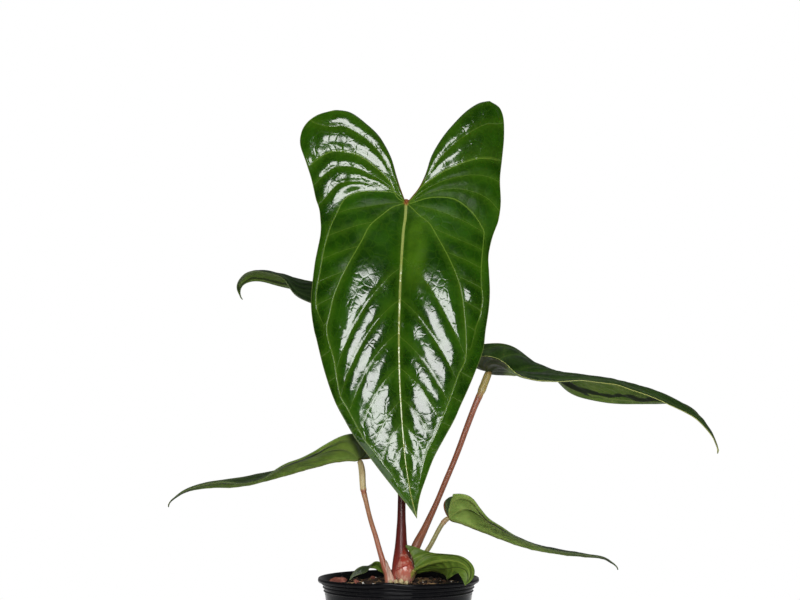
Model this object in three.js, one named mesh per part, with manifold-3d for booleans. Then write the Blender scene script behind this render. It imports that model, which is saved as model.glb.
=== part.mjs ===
import * as THREE from "three";
import { mergeVertices } from "three/addons/utils/BufferGeometryUtils.js";
import Module from "manifold-3d";

// A potted anthurium hybrid: one large glossy heart-shaped leaf that hangs upright, six smaller leaves
// round it, a short rhizome with its growth bud, and a thin black nursery pot filled with bark mix.
// Millimetres, +Z up, with the origin at the middle of the pot's underside. The front of the plant faces
// -Y.

const wasm = await Module();
wasm.setup();

// Driving sizes
const POT_HEIGHT = 100;
const POT_FOOT_RADIUS = 42;
const POT_SHOULDER_RADIUS = 55.3;
const POT_SHOULDER_HEIGHT = 88;
const POT_RIM_RADIUS = 60.4;
const POT_WALL = 1.2;
const POT_FLOOR = 1.6;
const POT_SIDES = 40;
const MIX_LEVEL = 93;
const MIX_MOUND = 3;
const BLADE_THICKNESS = 1.1;
const SEAT_GAP = 0.35;

const CURVE_STEPS = 24;
const OUTLINE_STEPS = 200;
const { degToRad, smoothstep, lerp } = THREE.MathUtils;

// Curves, keys and a seeded random draw

const vector = (point) => new THREE.Vector3(point[0], point[1], point[2]);

// The value of a list of [place, value] keys, easing from each key to the next.
function keyed(keys, place) {
  const next = keys.findIndex(([to]) => place < to);
  if (next === 0) return keys[0][1];
  if (next < 0) return keys.at(-1)[1];
  const [from, before] = keys[next - 1];
  const [to, after] = keys[next];
  return lerp(before, after, smoothstep(place, from, to));
}

function seededRandom(seed) {
  let state = seed;
  return () => {
    state = (state * 1664525 + 1013904223) % 4294967296;
    return state / 4294967296;
  };
}

// A midrib's line in space. Places are measured along it from the petiole, and are negative out on the
// basal lobes.
class Midrib {
  constructor(points) {
    const curve = new THREE.CatmullRomCurve3(points.map(vector), false, "catmullrom", 0.5);
    this.points = curve.getPoints(CURVE_STEPS * (points.length - 1));
    const travelled = [0];
    for (let i = 1; i < this.points.length; i++) {
      travelled.push(travelled[i - 1] + this.points[i].distanceTo(this.points[i - 1]));
    }
    this.places = travelled.map((length) => length - travelled[CURVE_STEPS]);
    this.length = this.places.at(-1);
  }

  at(place) {
    const last = this.points.length - 1;
    const after = this.places.findIndex((p) => p > place);
    const i = after < 0 ? last : Math.max(after, 1);
    const share = (place - this.places[i - 1]) / (this.places[i] - this.places[i - 1]);
    const point = this.points[i - 1].clone().lerp(this.points[i], share);
    const chord = (k) => {
      const [a, b] = [Math.max(k - 1, 0), Math.min(k + 1, last)];
      return this.points[b].clone().sub(this.points[a]).normalize();
    };
    const along = chord(i - 1).lerp(chord(i), Math.min(Math.max(share, 0), 1)).normalize();
    return { point, along };
  }
}

// Solids: three.js geometry in, three.js geometry out, with manifold-3d for joins and cuts

function solidOf(geometry) {
  const bare = geometry.clone();
  bare.deleteAttribute("normal");
  bare.deleteAttribute("uv");
  const merged = mergeVertices(bare, 1e-3);
  return new wasm.Manifold(
    new wasm.Mesh({
      numProp: 3,
      vertProperties: new Float32Array(merged.attributes.position.array),
      triVerts: new Uint32Array(merged.index.array),
    }),
  );
}

function geometryOf(solid) {
  const mesh = solid.getMesh();
  const geometry = new THREE.BufferGeometry();
  const coordinates = new Float32Array(mesh.vertProperties);
  geometry.setAttribute("position", new THREE.BufferAttribute(coordinates, 3));
  geometry.setIndex(new THREE.BufferAttribute(new Uint32Array(mesh.triVerts), 1));
  geometry.computeVertexNormals();
  return geometry;
}

// The solid less the others, without the scraps that the cuts leave.
function trimmed(solid, ...others) {
  const left = others.reduce((rest, other) => rest.subtract(other), solid);
  return left.decompose().sort((a, b) => b.volume() - a.volume())[0];
}

function closedGeometry(vertices, triangles) {
  const geometry = new THREE.BufferGeometry();
  const coordinates = vertices.flatMap((vertex) => vertex.toArray());
  geometry.setAttribute("position", new THREE.Float32BufferAttribute(coordinates, 3));
  geometry.setIndex(triangles.flat());
  return geometry;
}

// A round stem along stations of [x, y, z, radius]: a closed cylinder whose rings are moved onto the
// curve.
function stemGeometry(stations, sides, rings, swell = 0) {
  const curve = new THREE.CatmullRomCurve3(stations.map(vector), false, "catmullrom", 0.5);
  const frames = curve.computeFrenetFrames(rings, false);
  const geometry = new THREE.CylinderGeometry(1, 1, 1, sides, rings);
  const position = geometry.attributes.position;
  for (let i = 0; i < position.count; i++) {
    const ring = Math.round((position.getY(i) + 0.5) * rings);
    const station = curve.getUtoTmapping(ring / rings) * (stations.length - 1);
    const before = Math.min(Math.floor(station), stations.length - 2);
    const radius = swell + lerp(stations[before][3], stations[before + 1][3], station - before);
    const along = curve.getTangentAt(ring / rings);
    const place = curve
      .getPointAt(ring / rings)
      .addScaledVector(frames.normals[ring], position.getX(i) * radius)
      .addScaledVector(frames.binormals[ring], -position.getZ(i) * radius);
    if (ring === 0) place.addScaledVector(along, -swell);
    if (ring === rings) place.addScaledVector(along, swell);
    position.setXYZ(i, place.x, place.y, place.z);
  }
  return geometry;
}

// Leaf outlines. Each half is drawn flat as [across, along] from the petiole: the lobe's inner edge and
// outer edge both start at the lobe's top, and the side runs from beside the petiole to the tip.

const FRONT_LEFT = {
  inner: [[56, -72.5], [44, -70], [31, -63], [20.5, -52.5], [12, -37], [7.5, -22], [4.5, -12], [0, 0]],
  outer: [
    [56, -72.5], [67, -71], [76.5, -65.5], [81, -58], [81, -47], [76.5, -33], [72, -18], [68.5, -1],
    [64.5, 15], [62.5, 27], [64, 40], [65.5, 52], [67, 79], [65, 96], [62, 107], [56.5, 128],
    [49.5, 150], [42.5, 165], [35.5, 178.5], [26.5, 192], [18, 206], [10.5, 219], [4.5, 230], [0, 242],
  ],
};
const FRONT_RIGHT = {
  inner: [
    [64, -81], [50.5, -74.5], [39, -65.5], [28, -52], [19.5, -37.5], [15, -24], [10, -13], [4.5, -5.5],
    [0, 0],
  ],
  outer: [
    [64, -81], [73, -76], [76.5, -68], [76.5, -53], [74.5, -36.5], [72.5, -20.5], [73, -4.5],
    [71.5, 6], [68.5, 16], [66, 35], [67, 50], [68, 65], [67.5, 81], [66, 96], [64, 113], [58, 130],
    [51.5, 145], [44.5, 159], [39, 170], [31, 183], [21.5, 198], [14, 212], [7, 225], [2, 236],
    [0, 242],
  ],
};

// The leaf that leans over the rim has one basal lobe that stands up like an ear, and hardly any other.
const RIM_UPPER = {
  inner: [[19.5, 2], [13.5, 2.4], [8, 2.4], [3, 1.5], [0, 0]],
  outer: [
    [19.5, 2], [15.5, 6], [11.5, 10], [9, 15], [7.5, 22], [6.5, 30], [6, 38], [5, 46], [4, 53],
    [0, 62],
  ],
  turn: 10,
};
const RIM_LOWER = {
  inner: [[7, -1], [3.5, -1], [0, 0]],
  outer: [[7, -1], [9, 4], [11, 10], [12.5, 20], [14, 30], [15, 38], [15, 44], [11, 51], [6, 57], [0, 62]],
};

// The other leaves share one outline, as shares of half the width, of the lobe's depth and of the length.
const SMALL_INNER = [[0.42, -1], [0.24, -0.8], [0.1, -0.42], [0, 0]];
const SMALL_OUTER = [
  [0.42, -1], [0.68, -0.9], [0.88, -0.5], [0.97, 0], [1, 0.1], [1, 0.2], [0.95, 0.33], [0.84, 0.47],
  [0.68, 0.6], [0.49, 0.73], [0.3, 0.84], [0.13, 0.93], [0.04, 0.975], [0, 1],
];

function smallOutline({ halfWidth, lobe }, length) {
  const placed = ([across, along]) => [across * halfWidth, along * (along < 0 ? lobe : length)];
  return { inner: SMALL_INNER.map(placed), outer: SMALL_OUTER.map(placed) };
}

// The leaves. A midrib is a list of points, the first one behind the petiole. The face is the way the
// upper surface looks. On each half, fold is the angle at which it leaves the midrib and curl the further
// turn out to its margin, both in degrees and positive upwards, by share of the length. Hump is the swell
// of each half and quilt the relief between its side veins. Plus is the half on the side of along x face:
// the viewer's left on the front leaf, the near side on leaves that point right, and the far side on
// leaves that point left.

const FRONT_FOLD = [[-0.2, 2], [0.5, 4], [1, 0]];
const FRONT_CURL = [[-0.3, -8], [0.3, -14], [1, -6]];

const LEAVES = [
  {
    name: "front",
    midrib: [
      [5.7, 34, 453], [5.7, 20, 381.4], [3.4, 14, 357], [1.1, 3, 315.5], [0.4, -10, 263.2],
      [3.7, -22, 202.7], [8.5, -27, 167.4], [13.7, -27, 145.9],
    ],
    face: [0, -1, 0],
    plus: { outline: FRONT_LEFT, fold: FRONT_FOLD, curl: FRONT_CURL },
    minus: { outline: FRONT_RIGHT, fold: FRONT_FOLD, curl: FRONT_CURL },
    reach: 66,
    hump: [[-0.3, 3], [0.1, 7], [0.45, 5.5], [0.8, 1.5], [1, 0]],
    quilt: 1.3,
    lateralPitch: 38,
    keel: 2.2,
    rows: [9, 26],
    petiole: [
      [2.6, -3, 95.8, 7.6], [2.0, -3.5, 108, 7.2], [1.9, -4, 124.6, 4.8], [2.1, -3.5, 137, 3.8],
      [2.2, -3, 150, 3.1], [2.6, 2, 195, 2.8], [3.4, 15, 270, 2.6], [4.9, 27, 346, 2.7],
      [5.7, 29, 370, 3.1], [5.7, 25.5, 379, 3.1], [5.7, 20, 383, 2.6],
    ],
    sides: 10,
    rings: 22,
    green: "#1f5a12",
    stalk: "#6b1a14",
  },
  {
    name: "back_left",
    midrib: [
      [8.8, 50, 304.2], [-10.5, 55, 307.2], [-37.5, 62, 315.7], [-67.9, 68, 322.3], [-88.2, 72, 327],
      [-105.4, 75, 330.2], [-115.6, 77, 329], [-122.7, 78, 323.6], [-125.1, 79, 316.6], [-122.4, 79, 308],
    ],
    face: [-0.6, 0, 1],
    plus: { halfWidth: 27, lobe: 20, fold: [[0, -20], [0.55, -34], [0.7, -42], [0.85, -48], [1, -20]] },
    minus: {
      halfWidth: 27,
      lobe: 20,
      fold: [[0, -22], [0.41, -28], [0.48, -22], [0.57, 4], [0.7, 8], [1, 6]],
    },
    reach: 27,
    hump: [[0, 1], [0.5, 0.5], [1, 0]],
    quilt: 0.5,
    lateralPitch: 26,
    keel: 1.2,
    rows: [4, 18],
    petiole: [
      [2.5, 6, 96, 2.6], [1.9, 9, 108, 2.3], [1.8, 12, 122, 2.1], [1.5, 18, 149, 2], [0.3, 27, 194, 1.9],
      [-3.5, 40, 254, 1.9], [-7.5, 49, 290, 2.1], [-9.6, 53, 301, 2.2], [-10.5, 55, 307, 1.9],
    ],
    sides: 8,
    rings: 18,
    green: "#24501a",
    stalk: "#8a4a34",
  },
  {
    name: "right_high",
    midrib: [
      [48.5, 38, 256.1], [69.3, 45, 253.6], [89.6, 50, 252.6], [111.2, 55, 252], [133.8, 59, 250.8],
      [168.2, 64, 245], [202.5, 67, 236.8], [229, 69, 222.5], [243.1, 70, 206], [249, 71, 189.3],
    ],
    face: [0, 0, 1],
    plus: {
      halfWidth: 40,
      lobe: 22,
      fold: [
        [-0.1, 20], [0, 10], [0.05, 0], [0.21, -8], [0.33, -5], [0.48, -2], [0.52, -4], [0.63, -11],
        [0.69, -16], [0.8, -20], [1, -30],
      ],
    },
    minus: {
      halfWidth: 40,
      lobe: 26,
      fold: [
        [-0.1, 26], [0.16, 25], [0.2, 16], [0.27, 0], [0.35, -20], [0.44, -27], [0.6, -28],
        [0.68, -21], [0.76, -4], [1, -6],
      ],
    },
    reach: 40,
    hump: [[0, 1.2], [1, 0]],
    quilt: 0.7,
    lateralPitch: 30,
    keel: 1.6,
    rows: [5, 22],
    petiole: [
      [4.1, 3, 97.7, 5], [8, 4, 110, 4.2], [13.9, 6, 124.5, 3.5], [19.9, 10, 136.2, 2.8],
      [28.3, 16, 153.8, 2.2], [36, 22, 171.6, 2.2], [43.7, 27, 189.5, 2.2], [50.6, 32, 207.5, 2.3],
      [57.6, 37, 225.5, 2.4], [63, 40, 237.7, 2.8], [67.7, 43, 249.5, 3], [70, 44.6, 254.5, 2.2],
    ],
    sides: 8,
    rings: 18,
    green: "#2c5a1c",
    stalk: "#9a6040",
  },
  {
    name: "left_low",
    midrib: [
      [-15.5, 18, 187], [-30, 22, 187.4], [-46.7, 25, 187], [-67.8, 28, 181.8], [-92, 30, 174.4],
      [-118.8, 31, 167.8], [-147.4, 31, 165.8], [-162.6, 31, 162.6], [-172.5, 31, 156.1],
      [-176.1, 31, 150.8],
    ],
    face: [0, 0, 1],
    plus: { halfWidth: 27, lobe: 9, fold: [[0, 8], [0.4, 10], [0.5, 14], [0.6, 17], [0.8, 15], [1, 3]] },
    minus: {
      halfWidth: 27,
      lobe: 9,
      fold: [
        [0, 50], [0.06, 43], [0.1, 34], [0.17, 23], [0.24, 18], [0.4, 16], [0.47, 8], [0.6, 9], [0.69, 19],
        [0.8, 16], [1, 0],
      ],
    },
    reach: 27,
    hump: [[0, 0.8], [1, 0]],
    quilt: 0.5,
    lateralPitch: 24,
    keel: 1.4,
    rows: [4, 18],
    petiole: [
      [-6, -5, 95.5, 4.3], [-6.8, -5, 99, 3.8], [-8.3, -4.5, 103.5, 3], [-10.4, -4, 108, 2.5],
      [-13.9, -2, 119.2, 2.1], [-17.3, 1, 130.9, 1.9], [-21.1, 5, 142.6, 1.8], [-24.1, 9, 154.3, 1.8],
      [-26.8, 13, 166.1, 2.3], [-27.6, 17, 177.9, 2.5], [-29, 21, 184.6, 2.2],
      [-30.6, 22.4, 186.2, 1.8],
    ],
    sides: 8,
    rings: 18,
    green: "#4f7a2a",
    stalk: "#a86a48",
  },
  {
    name: "right_low",
    midrib: [
      [32, 10, 147.5], [38.4, 8, 144], [50.7, 5, 140.4], [71.6, 1, 132.6], [94.7, -2, 124.4],
      [117.1, -4, 119.5], [139.5, -5, 117], [153, -5, 115.6], [160.4, -5, 111.6], [164.9, -5, 106.8],
    ],
    face: [0, 0, 1],
    plus: {
      halfWidth: 27,
      lobe: 2,
      fold: [
        [0, 52], [0.09, 55], [0.16, 40], [0.22, 29], [0.31, 22], [0.47, 16], [0.6, 12], [0.8, 10],
        [1, 0],
      ],
    },
    minus: {
      halfWidth: 25,
      lobe: 11,
      fold: [[-0.1, 45], [0.05, 25], [0.2, 10], [0.35, -2], [0.6, 6], [1, 0]],
    },
    reach: 24,
    hump: [[0, 0.8], [1, 0]],
    quilt: 0.5,
    lateralPitch: 22,
    keel: 1.4,
    rows: [4, 18],
    petiole: [
      [8.6, 0, 98, 2.4], [15, 2, 109.8, 2], [20.6, 3, 118.5, 1.8], [24.5, 3.2, 124.7, 1.8],
      [30.6, 5.6, 136, 1.8], [34.8, 7.4, 141.8, 2], [39, 8, 144.6, 1.6],
    ],
    sides: 8,
    rings: 14,
    green: "#5f8436",
    stalk: "#a9a860",
  },
  {
    name: "over_rim",
    midrib: [
      [7.1, -17, 101.9], [12.2, -18, 107.3], [21.9, -22, 112.2], [32.9, -28, 115], [43.1, -36, 115],
      [50.3, -42, 111.2], [51.7, -45, 104.8], [48.7, -46, 98.6],
    ],
    face: [0, 1, -0.15],
    plus: { outline: RIM_UPPER, fold: [[0, 5], [0.1, 15], [0.25, 38], [0.6, 35], [0.8, 20], [1, 10]] },
    minus: {
      outline: RIM_LOWER,
      fold: [[0, 60], [0.14, 60], [0.25, 57], [0.39, 50], [0.51, 38], [0.66, 0], [1, 0]],
    },
    reach: 13,
    hump: [[0, 0.4], [1, 0]],
    quilt: 0.3,
    lateralPitch: 14,
    keel: 1,
    rows: [4, 14],
    petiole: [
      [5, -7, 96, 2], [7.4, -10.5, 99.2, 1.7], [9.6, -14, 102.8, 1.5], [11.2, -16.6, 106, 1.5],
      [12.6, -18.2, 108, 1.2],
    ],
    sides: 7,
    rings: 8,
    green: "#5a7d2c",
    stalk: "#a8ae4e",
  },
  {
    name: "left_small",
    midrib: [
      [-7.4, 6, 99], [-11.7, 6, 103.4], [-16.9, 6, 107], [-22.9, 5, 107.8], [-28.9, 3, 106.8],
      [-34.2, 1, 102.7], [-36.8, 0, 97.6],
    ],
    face: [0, 0, 1],
    plus: { halfWidth: 8, lobe: 3, fold: [[0, -10]] },
    minus: { halfWidth: 8, lobe: 3, fold: [[0, 38], [0.3, 30], [0.55, -40], [1, -62]] },
    reach: 8,
    hump: [[0, 0.3], [1, 0]],
    quilt: 0.2,
    lateralPitch: 10,
    keel: 0.8,
    rows: [3, 12],
    petiole: [[-3, 2, 96, 1.5], [-6.5, 4, 98.8, 1.3], [-9.6, 5.6, 101.6, 1.2], [-12, 6, 103.8, 1]],
    sides: 7,
    rings: 6,
    green: "#4c6a38",
    stalk: "#7d9a3c",
  },
];

// Blade surfaces

// Where the columns stand across each half, as shares from the midrib to the margin: a close one beside
// the midrib shapes the keel.
const BLADE_COLUMNS = [0, 0.05, 0.24, 0.44, 0.64, 0.84, 1];
const KEEL_REACH = 3;
const LATERAL_LEAN = 0.8;
const LATERAL_BEND = 0.0135;

function sheetPoint(leaf, across, place) {
  const { point, along } = leaf.line.at(place);
  const share = place / leaf.line.length;
  const level = along.clone().cross(vector(leaf.face)).normalize();
  const up = level.clone().cross(along);
  const half = across >= 0 ? leaf.plus : leaf.minus;
  const fold = degToRad(keyed(half.fold, share));
  const bend = degToRad(keyed(half.curl ?? [[0, 0]], share)) / leaf.reach;
  const distance = Math.abs(across);
  const angle = fold + bend * distance;
  const straight = Math.abs(bend) < 1e-6;
  const out = straight ? distance * Math.cos(fold) : (Math.sin(angle) - Math.sin(fold)) / bend;
  const rise = straight ? distance * Math.sin(fold) : (Math.cos(fold) - Math.cos(angle)) / bend;
  return point.addScaledVector(level, Math.sign(across) * out).addScaledVector(up, rise);
}

function sheetNormal(leaf, across, place) {
  const step = 0.05;
  const side = sheetPoint(leaf, across + step, place).sub(sheetPoint(leaf, across - step, place));
  const on = sheetPoint(leaf, across, place + step).sub(sheetPoint(leaf, across, place - step));
  return side.cross(on).normalize();
}

// How far the blade stands off its plain sheet: each half swells between midrib and margin, and is
// quilted between the side veins, which leave the midrib at a slant and bend towards the tip.
function relief(leaf, across, place, share) {
  const swell = keyed(leaf.hump, place / leaf.line.length) * Math.sin(Math.PI * share ** 0.8);
  const distance = Math.abs(across);
  const start = place - LATERAL_LEAN * distance - LATERAL_BEND * distance ** 2;
  const wave = Math.cos((2 * Math.PI * start) / leaf.lateralPitch);
  return swell - leaf.quilt * wave * Math.sin(Math.PI * share);
}

// One half as rows of flat points from the lobe's top to the tip. The rows that start on the lobe's inner
// edge end on its outer edge, and the rest run from the midrib to the margin.
function halfRows(outline, [lobeRows, bodyRows], length) {
  const flatCurve = (points) => new THREE.SplineCurve(points.map(([x, y]) => new THREE.Vector2(x, y)));
  const inner = flatCurve(outline.inner);
  const outer = flatCurve(outline.outer);
  outer.points.at(-1).y = length;
  const turn = outline.turn ?? 0;
  const beside = outer.getSpacedPoints(OUTLINE_STEPS).findIndex(({ y }) => y >= turn) / OUTLINE_STEPS;
  const ends = [];
  for (let i = 0; i <= lobeRows; i++) {
    ends.push([inner.getPointAt(i / lobeRows), outer.getPointAt((beside * i) / lobeRows)]);
  }
  for (let i = 1; i <= bodyRows; i++) {
    const share = i / bodyRows;
    ends.push([new THREE.Vector2(0, length * share ** 1.2), outer.getPointAt(lerp(beside, 1, share))]);
  }
  return ends.map(([from, to]) =>
    BLADE_COLUMNS.map((share) => ({ flat: from.clone().lerp(to, share), share })),
  );
}

// The blade as one closed sheet. Both faces stand on the same flat grid, so that they are split alike.
function bladeGeometry(leaf, extra = 0) {
  const flat = [];
  const known = new Map();
  const triangles = [];
  for (const sign of [1, -1]) {
    const half = sign > 0 ? leaf.plus : leaf.minus;
    const outline = half.outline ?? smallOutline(half, leaf.line.length);
    const rows = halfRows(outline, leaf.rows, leaf.line.length).map((row) =>
      row.map(({ flat: { x, y }, share }) => {
        const key = `${Math.round(sign * x * 100)} ${Math.round(y * 100)}`;
        if (!known.has(key)) {
          known.set(key, flat.length);
          flat.push({ across: sign * x, place: y, share });
        }
        return known.get(key);
      }),
    );
    for (let r = 1; r < rows.length; r++) {
      for (let c = 1; c < BLADE_COLUMNS.length; c++) {
        const [a, b, d, e] = [rows[r - 1][c - 1], rows[r - 1][c], rows[r][c], rows[r][c - 1]];
        triangles.push(...(sign > 0 ? [[a, b, d], [a, d, e]] : [[a, d, b], [a, e, d]]));
      }
    }
  }
  const turned = triangles.filter(([a, b, c]) => a !== b && b !== c && a !== c);

  const upper = [];
  const lower = [];
  for (const { across, place, share } of flat) {
    const normal = sheetNormal(leaf, across, place);
    const height = relief(leaf, across, place, share);
    const middle = sheetPoint(leaf, across, place).addScaledVector(normal, height);
    const onMidrib = place >= 0 ? Math.max(0, 1 - Math.abs(across) / KEEL_REACH) : 0;
    const keel = leaf.keel * onMidrib * (1 - smoothstep(place / leaf.line.length, 0.3, 1));
    upper.push(middle.clone().addScaledVector(normal, BLADE_THICKNESS / 2 + extra));
    lower.push(middle.clone().addScaledVector(normal, -BLADE_THICKNESS / 2 - keel - extra));
  }

  const count = flat.length;
  const faces = turned.flatMap(([a, b, c]) => [[a, b, c], [c + count, b + count, a + count]]);
  const edges = new Set(turned.flatMap(([a, b, c]) => [`${a} ${b}`, `${b} ${c}`, `${c} ${a}`]));
  for (const edge of edges) {
    const [a, b] = edge.split(" ").map(Number);
    if (!edges.has(`${b} ${a}`)) faces.push([b, a, a + count], [b, a + count, b + count]);
  }
  return closedGeometry([...upper, ...lower], faces);
}

for (const leaf of LEAVES) leaf.line = new Midrib(leaf.midrib);

// The pot: a tapered thin wall with three stiffening rings under a flared lip, and a floor with drain
// holes

const RING_HEIGHTS = [90.2, 92.9, 95.6];
const RING_HEIGHT = 1.1;
const RING_DEPTH = 0.8;
const DRAIN_HOLES = 6;
const DRAIN_RADIUS = 4;
const DRAIN_CIRCLE = 29;
const FOOT_ROUND = 1.6;
const LIP_HEIGHT = 97.6;
const FLARE_REACH = 4;

// The rim is a little bent: it stands higher at the front, where it also has one short kink.
const RIM_RISE = 0.7;
const RIM_KINK = 1.4;
const RIM_KINK_ANGLE = -1.71;
const RIM_KINK_SPAN = 0.16;

function wallRadius(height) {
  const share = Math.min(height / POT_SHOULDER_HEIGHT, 1);
  const flare = Math.max(0, height - POT_SHOULDER_HEIGHT) / (POT_HEIGHT - POT_SHOULDER_HEIGHT);
  return lerp(POT_FOOT_RADIUS, POT_SHOULDER_RADIUS, share) + FLARE_REACH * flare ** 1.8;
}

function potGeometry() {
  const outside = [[POT_FOOT_RADIUS - FOOT_ROUND, 0]];
  for (const height of [FOOT_ROUND, 30, 60]) outside.push([wallRadius(height), height]);
  for (const middle of RING_HEIGHTS) {
    outside.push([wallRadius(middle - RING_HEIGHT), middle - RING_HEIGHT]);
    outside.push([wallRadius(middle) + RING_DEPTH, middle]);
  }
  outside.push([wallRadius(LIP_HEIGHT - 0.8), LIP_HEIGHT - 0.8]);
  outside.push([POT_RIM_RADIUS - 0.4, LIP_HEIGHT]);
  outside.push([POT_RIM_RADIUS, POT_HEIGHT - 0.9]);
  outside.push([POT_RIM_RADIUS - 0.7, POT_HEIGHT]);
  const inside = [[POT_RIM_RADIUS - 1.9, POT_HEIGHT - 0.2]];
  for (const height of [97, 92, 88, 60, 30]) inside.push([wallRadius(height) - POT_WALL, height]);
  inside.push([wallRadius(POT_FLOOR) - POT_WALL - 0.6, POT_FLOOR]);
  const profile = [[0, 0], ...outside, ...inside, [0, POT_FLOOR]].map(([r, z]) => new THREE.Vector2(r, z));
  const geometry = new THREE.LatheGeometry(profile, POT_SIDES).rotateX(Math.PI / 2);
  const position = geometry.attributes.position;
  for (let i = 0; i < position.count; i++) {
    const [x, y, z] = [position.getX(i), position.getY(i), position.getZ(i)];
    const angle = Math.atan2(y, x);
    const kink = RIM_KINK * Math.exp(-(((angle - RIM_KINK_ANGLE) / RIM_KINK_SPAN) ** 2));
    const lift = RIM_RISE * Math.max(0, -Math.sin(angle)) + kink;
    position.setZ(i, z + lift * smoothstep(z, 90, 99));
  }
  const drain = new THREE.CylinderGeometry(DRAIN_RADIUS, DRAIN_RADIUS, 3 * POT_FLOOR, 12);
  drain.rotateX(Math.PI / 2);
  let pot = solidOf(geometry);
  for (let i = 0; i < DRAIN_HOLES; i++) {
    const angle = (i / DRAIN_HOLES) * 2 * Math.PI;
    const hole = drain.clone().translate(DRAIN_CIRCLE * Math.cos(angle), DRAIN_CIRCLE * Math.sin(angle), 0);
    pot = pot.subtract(solidOf(hole));
  }
  return pot;
}

// The potting mix: a mound of bark chips, one solid, with the chips sunk into its top

const CHIP_COUNT = 20;
const CHIP_SEED = 7;
const MIX_RADIUS = wallRadius(MIX_LEVEL) - POT_WALL - SEAT_GAP;

// The mound falls evenly to the wall, with low dips about 20 mm apart.
function mixHeight(x, y) {
  const mound = MIX_MOUND * Math.max(0, 1 - Math.hypot(x, y) / MIX_RADIUS);
  return MIX_LEVEL + mound + 0.5 * Math.sin(x * 0.31 + 1) * Math.cos(y * 0.27);
}

function mixSolid() {
  const rings = [0, 10, 20, 30, 40, 48, MIX_RADIUS];
  const heights = [MIX_LEVEL - 5, 60, 30, POT_FLOOR + SEAT_GAP];
  const body = heights.map((height) => {
    const floorStep = height < 2 * POT_FLOOR ? 0.8 : 0;
    return new THREE.Vector2(wallRadius(height) - POT_WALL - SEAT_GAP - floorStep, height);
  });
  const top = rings.map((radius) => new THREE.Vector2(radius, MIX_LEVEL)).reverse();
  const profile = [new THREE.Vector2(0, POT_FLOOR + SEAT_GAP), ...body.reverse(), ...top];
  const geometry = new THREE.LatheGeometry(profile, 28).rotateX(Math.PI / 2);
  const position = geometry.attributes.position;
  for (let i = 0; i < position.count; i++) {
    if (position.getZ(i) > MIX_LEVEL - 1) position.setZ(i, mixHeight(position.getX(i), position.getY(i)));
  }
  let mix = solidOf(geometry);
  const random = seededRandom(CHIP_SEED);
  for (let i = 0; i < CHIP_COUNT; i++) {
    const angle = i * 2.39996;
    const radius = 12 + 32 * Math.sqrt((i + 0.5) / CHIP_COUNT) + 2 * random();
    const [x, y] = [radius * Math.cos(angle), radius * Math.sin(angle)];
    const chip = new THREE.BoxGeometry(6 + 5 * random(), 4 + 3 * random(), 3)
      .rotateX(0.5 * (random() - 0.5))
      .rotateY(0.6 * (random() - 0.5))
      .rotateZ(Math.PI * random())
      .translate(x, y, mixHeight(x, y) + 0.2);
    mix = mix.add(solidOf(chip));
  }
  return mix;
}

// Loose terracotta-coloured chips that lie on the mix: [x, y, height of the middle, length, width,
// thickness, turn]
const CLAY_CHIPS = [
  [-44.6, 2, 97, 16, 9, 6.4, 0.12],
  [-31.6, 0, 96.4, 6.4, 5, 4.6, 2.2],
  [-19.6, 34, 96, 5, 4, 3.6, 1.1],
];

function clayChip([x, y, z, length, width, thickness, turn], extra = 0) {
  return new THREE.DodecahedronGeometry(0.5)
    .scale(length + 2 * extra, width + 2 * extra, thickness + 2 * extra)
    .rotateZ(turn)
    .translate(x, y, z);
}

// The rhizome with the stubs of its roots, the growth bud and the old cataphyll beside it

const RHIZOME = [
  [1, 0, 66, 6], [1, 0, 74, 7.6], [1, 0, 84, 8.2], [1.2, 0, 93, 8], [1.5, -1, 98.5, 6.4],
  [1.8, -2, 102, 3.6],
];
const ROOT_STUBS = 7;
const ROOT_START = 93;
const ROOT_DROPS = [34, 26];

function rhizomeSolid(swell) {
  let solid = solidOf(stemGeometry(RHIZOME, 12, 10, swell));
  for (let i = 0; i < ROOT_STUBS; i++) {
    const angle = (i / ROOT_STUBS) * 2 * Math.PI + 0.35;
    const [dx, dy] = [Math.cos(angle), Math.sin(angle)];
    const end = ROOT_START - ROOT_DROPS[i % ROOT_DROPS.length];
    const root = [
      [1 + 4 * dx, 4 * dy, ROOT_START, 1.7],
      [1 + 11 * dx, 11 * dy, ROOT_START - 3, 1.6],
      [1 + 15 * dx, 15 * dy, end, 1.1],
    ];
    solid = solid.add(solidOf(stemGeometry(root, 6, 5, swell)));
  }
  return solid;
}

const GROWTH_BUD = [
  [4.2, -9, 97.6, 4.2], [4.6, -9.6, 101.5, 6.4], [4.7, -9.8, 106, 7.1], [4.6, -9.4, 111, 6.3],
  [4.2, -8.6, 116, 4], [3.9, -8, 120.5, 1.8], [3.7, -7.6, 123.5, 0.6],
];
const CATAPHYLL = [
  [-5.2, -7.5, 97, 3.2], [-6.2, -7, 101.5, 2.8], [-7.6, -6.4, 106.5, 1.9], [-8.8, -6, 111, 1],
  [-9.6, -5.8, 113.4, 0.5],
];

// Assembly: each stem is cut clear of what it stands against, by the gap that seated pieces keep

const part = new THREE.Group();
part.name = "potted_anthurium";

function place(name, solid, color, roughness) {
  const material = new THREE.MeshStandardMaterial({ color, roughness, metalness: 0, flatShading: true });
  const mesh = new THREE.Mesh(geometryOf(solid), material);
  mesh.name = name;
  part.add(mesh);
}

const stands = [rhizomeSolid(SEAT_GAP)];
place("rhizome", rhizomeSolid(0), "#7a5a3c", 0.8);

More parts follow.
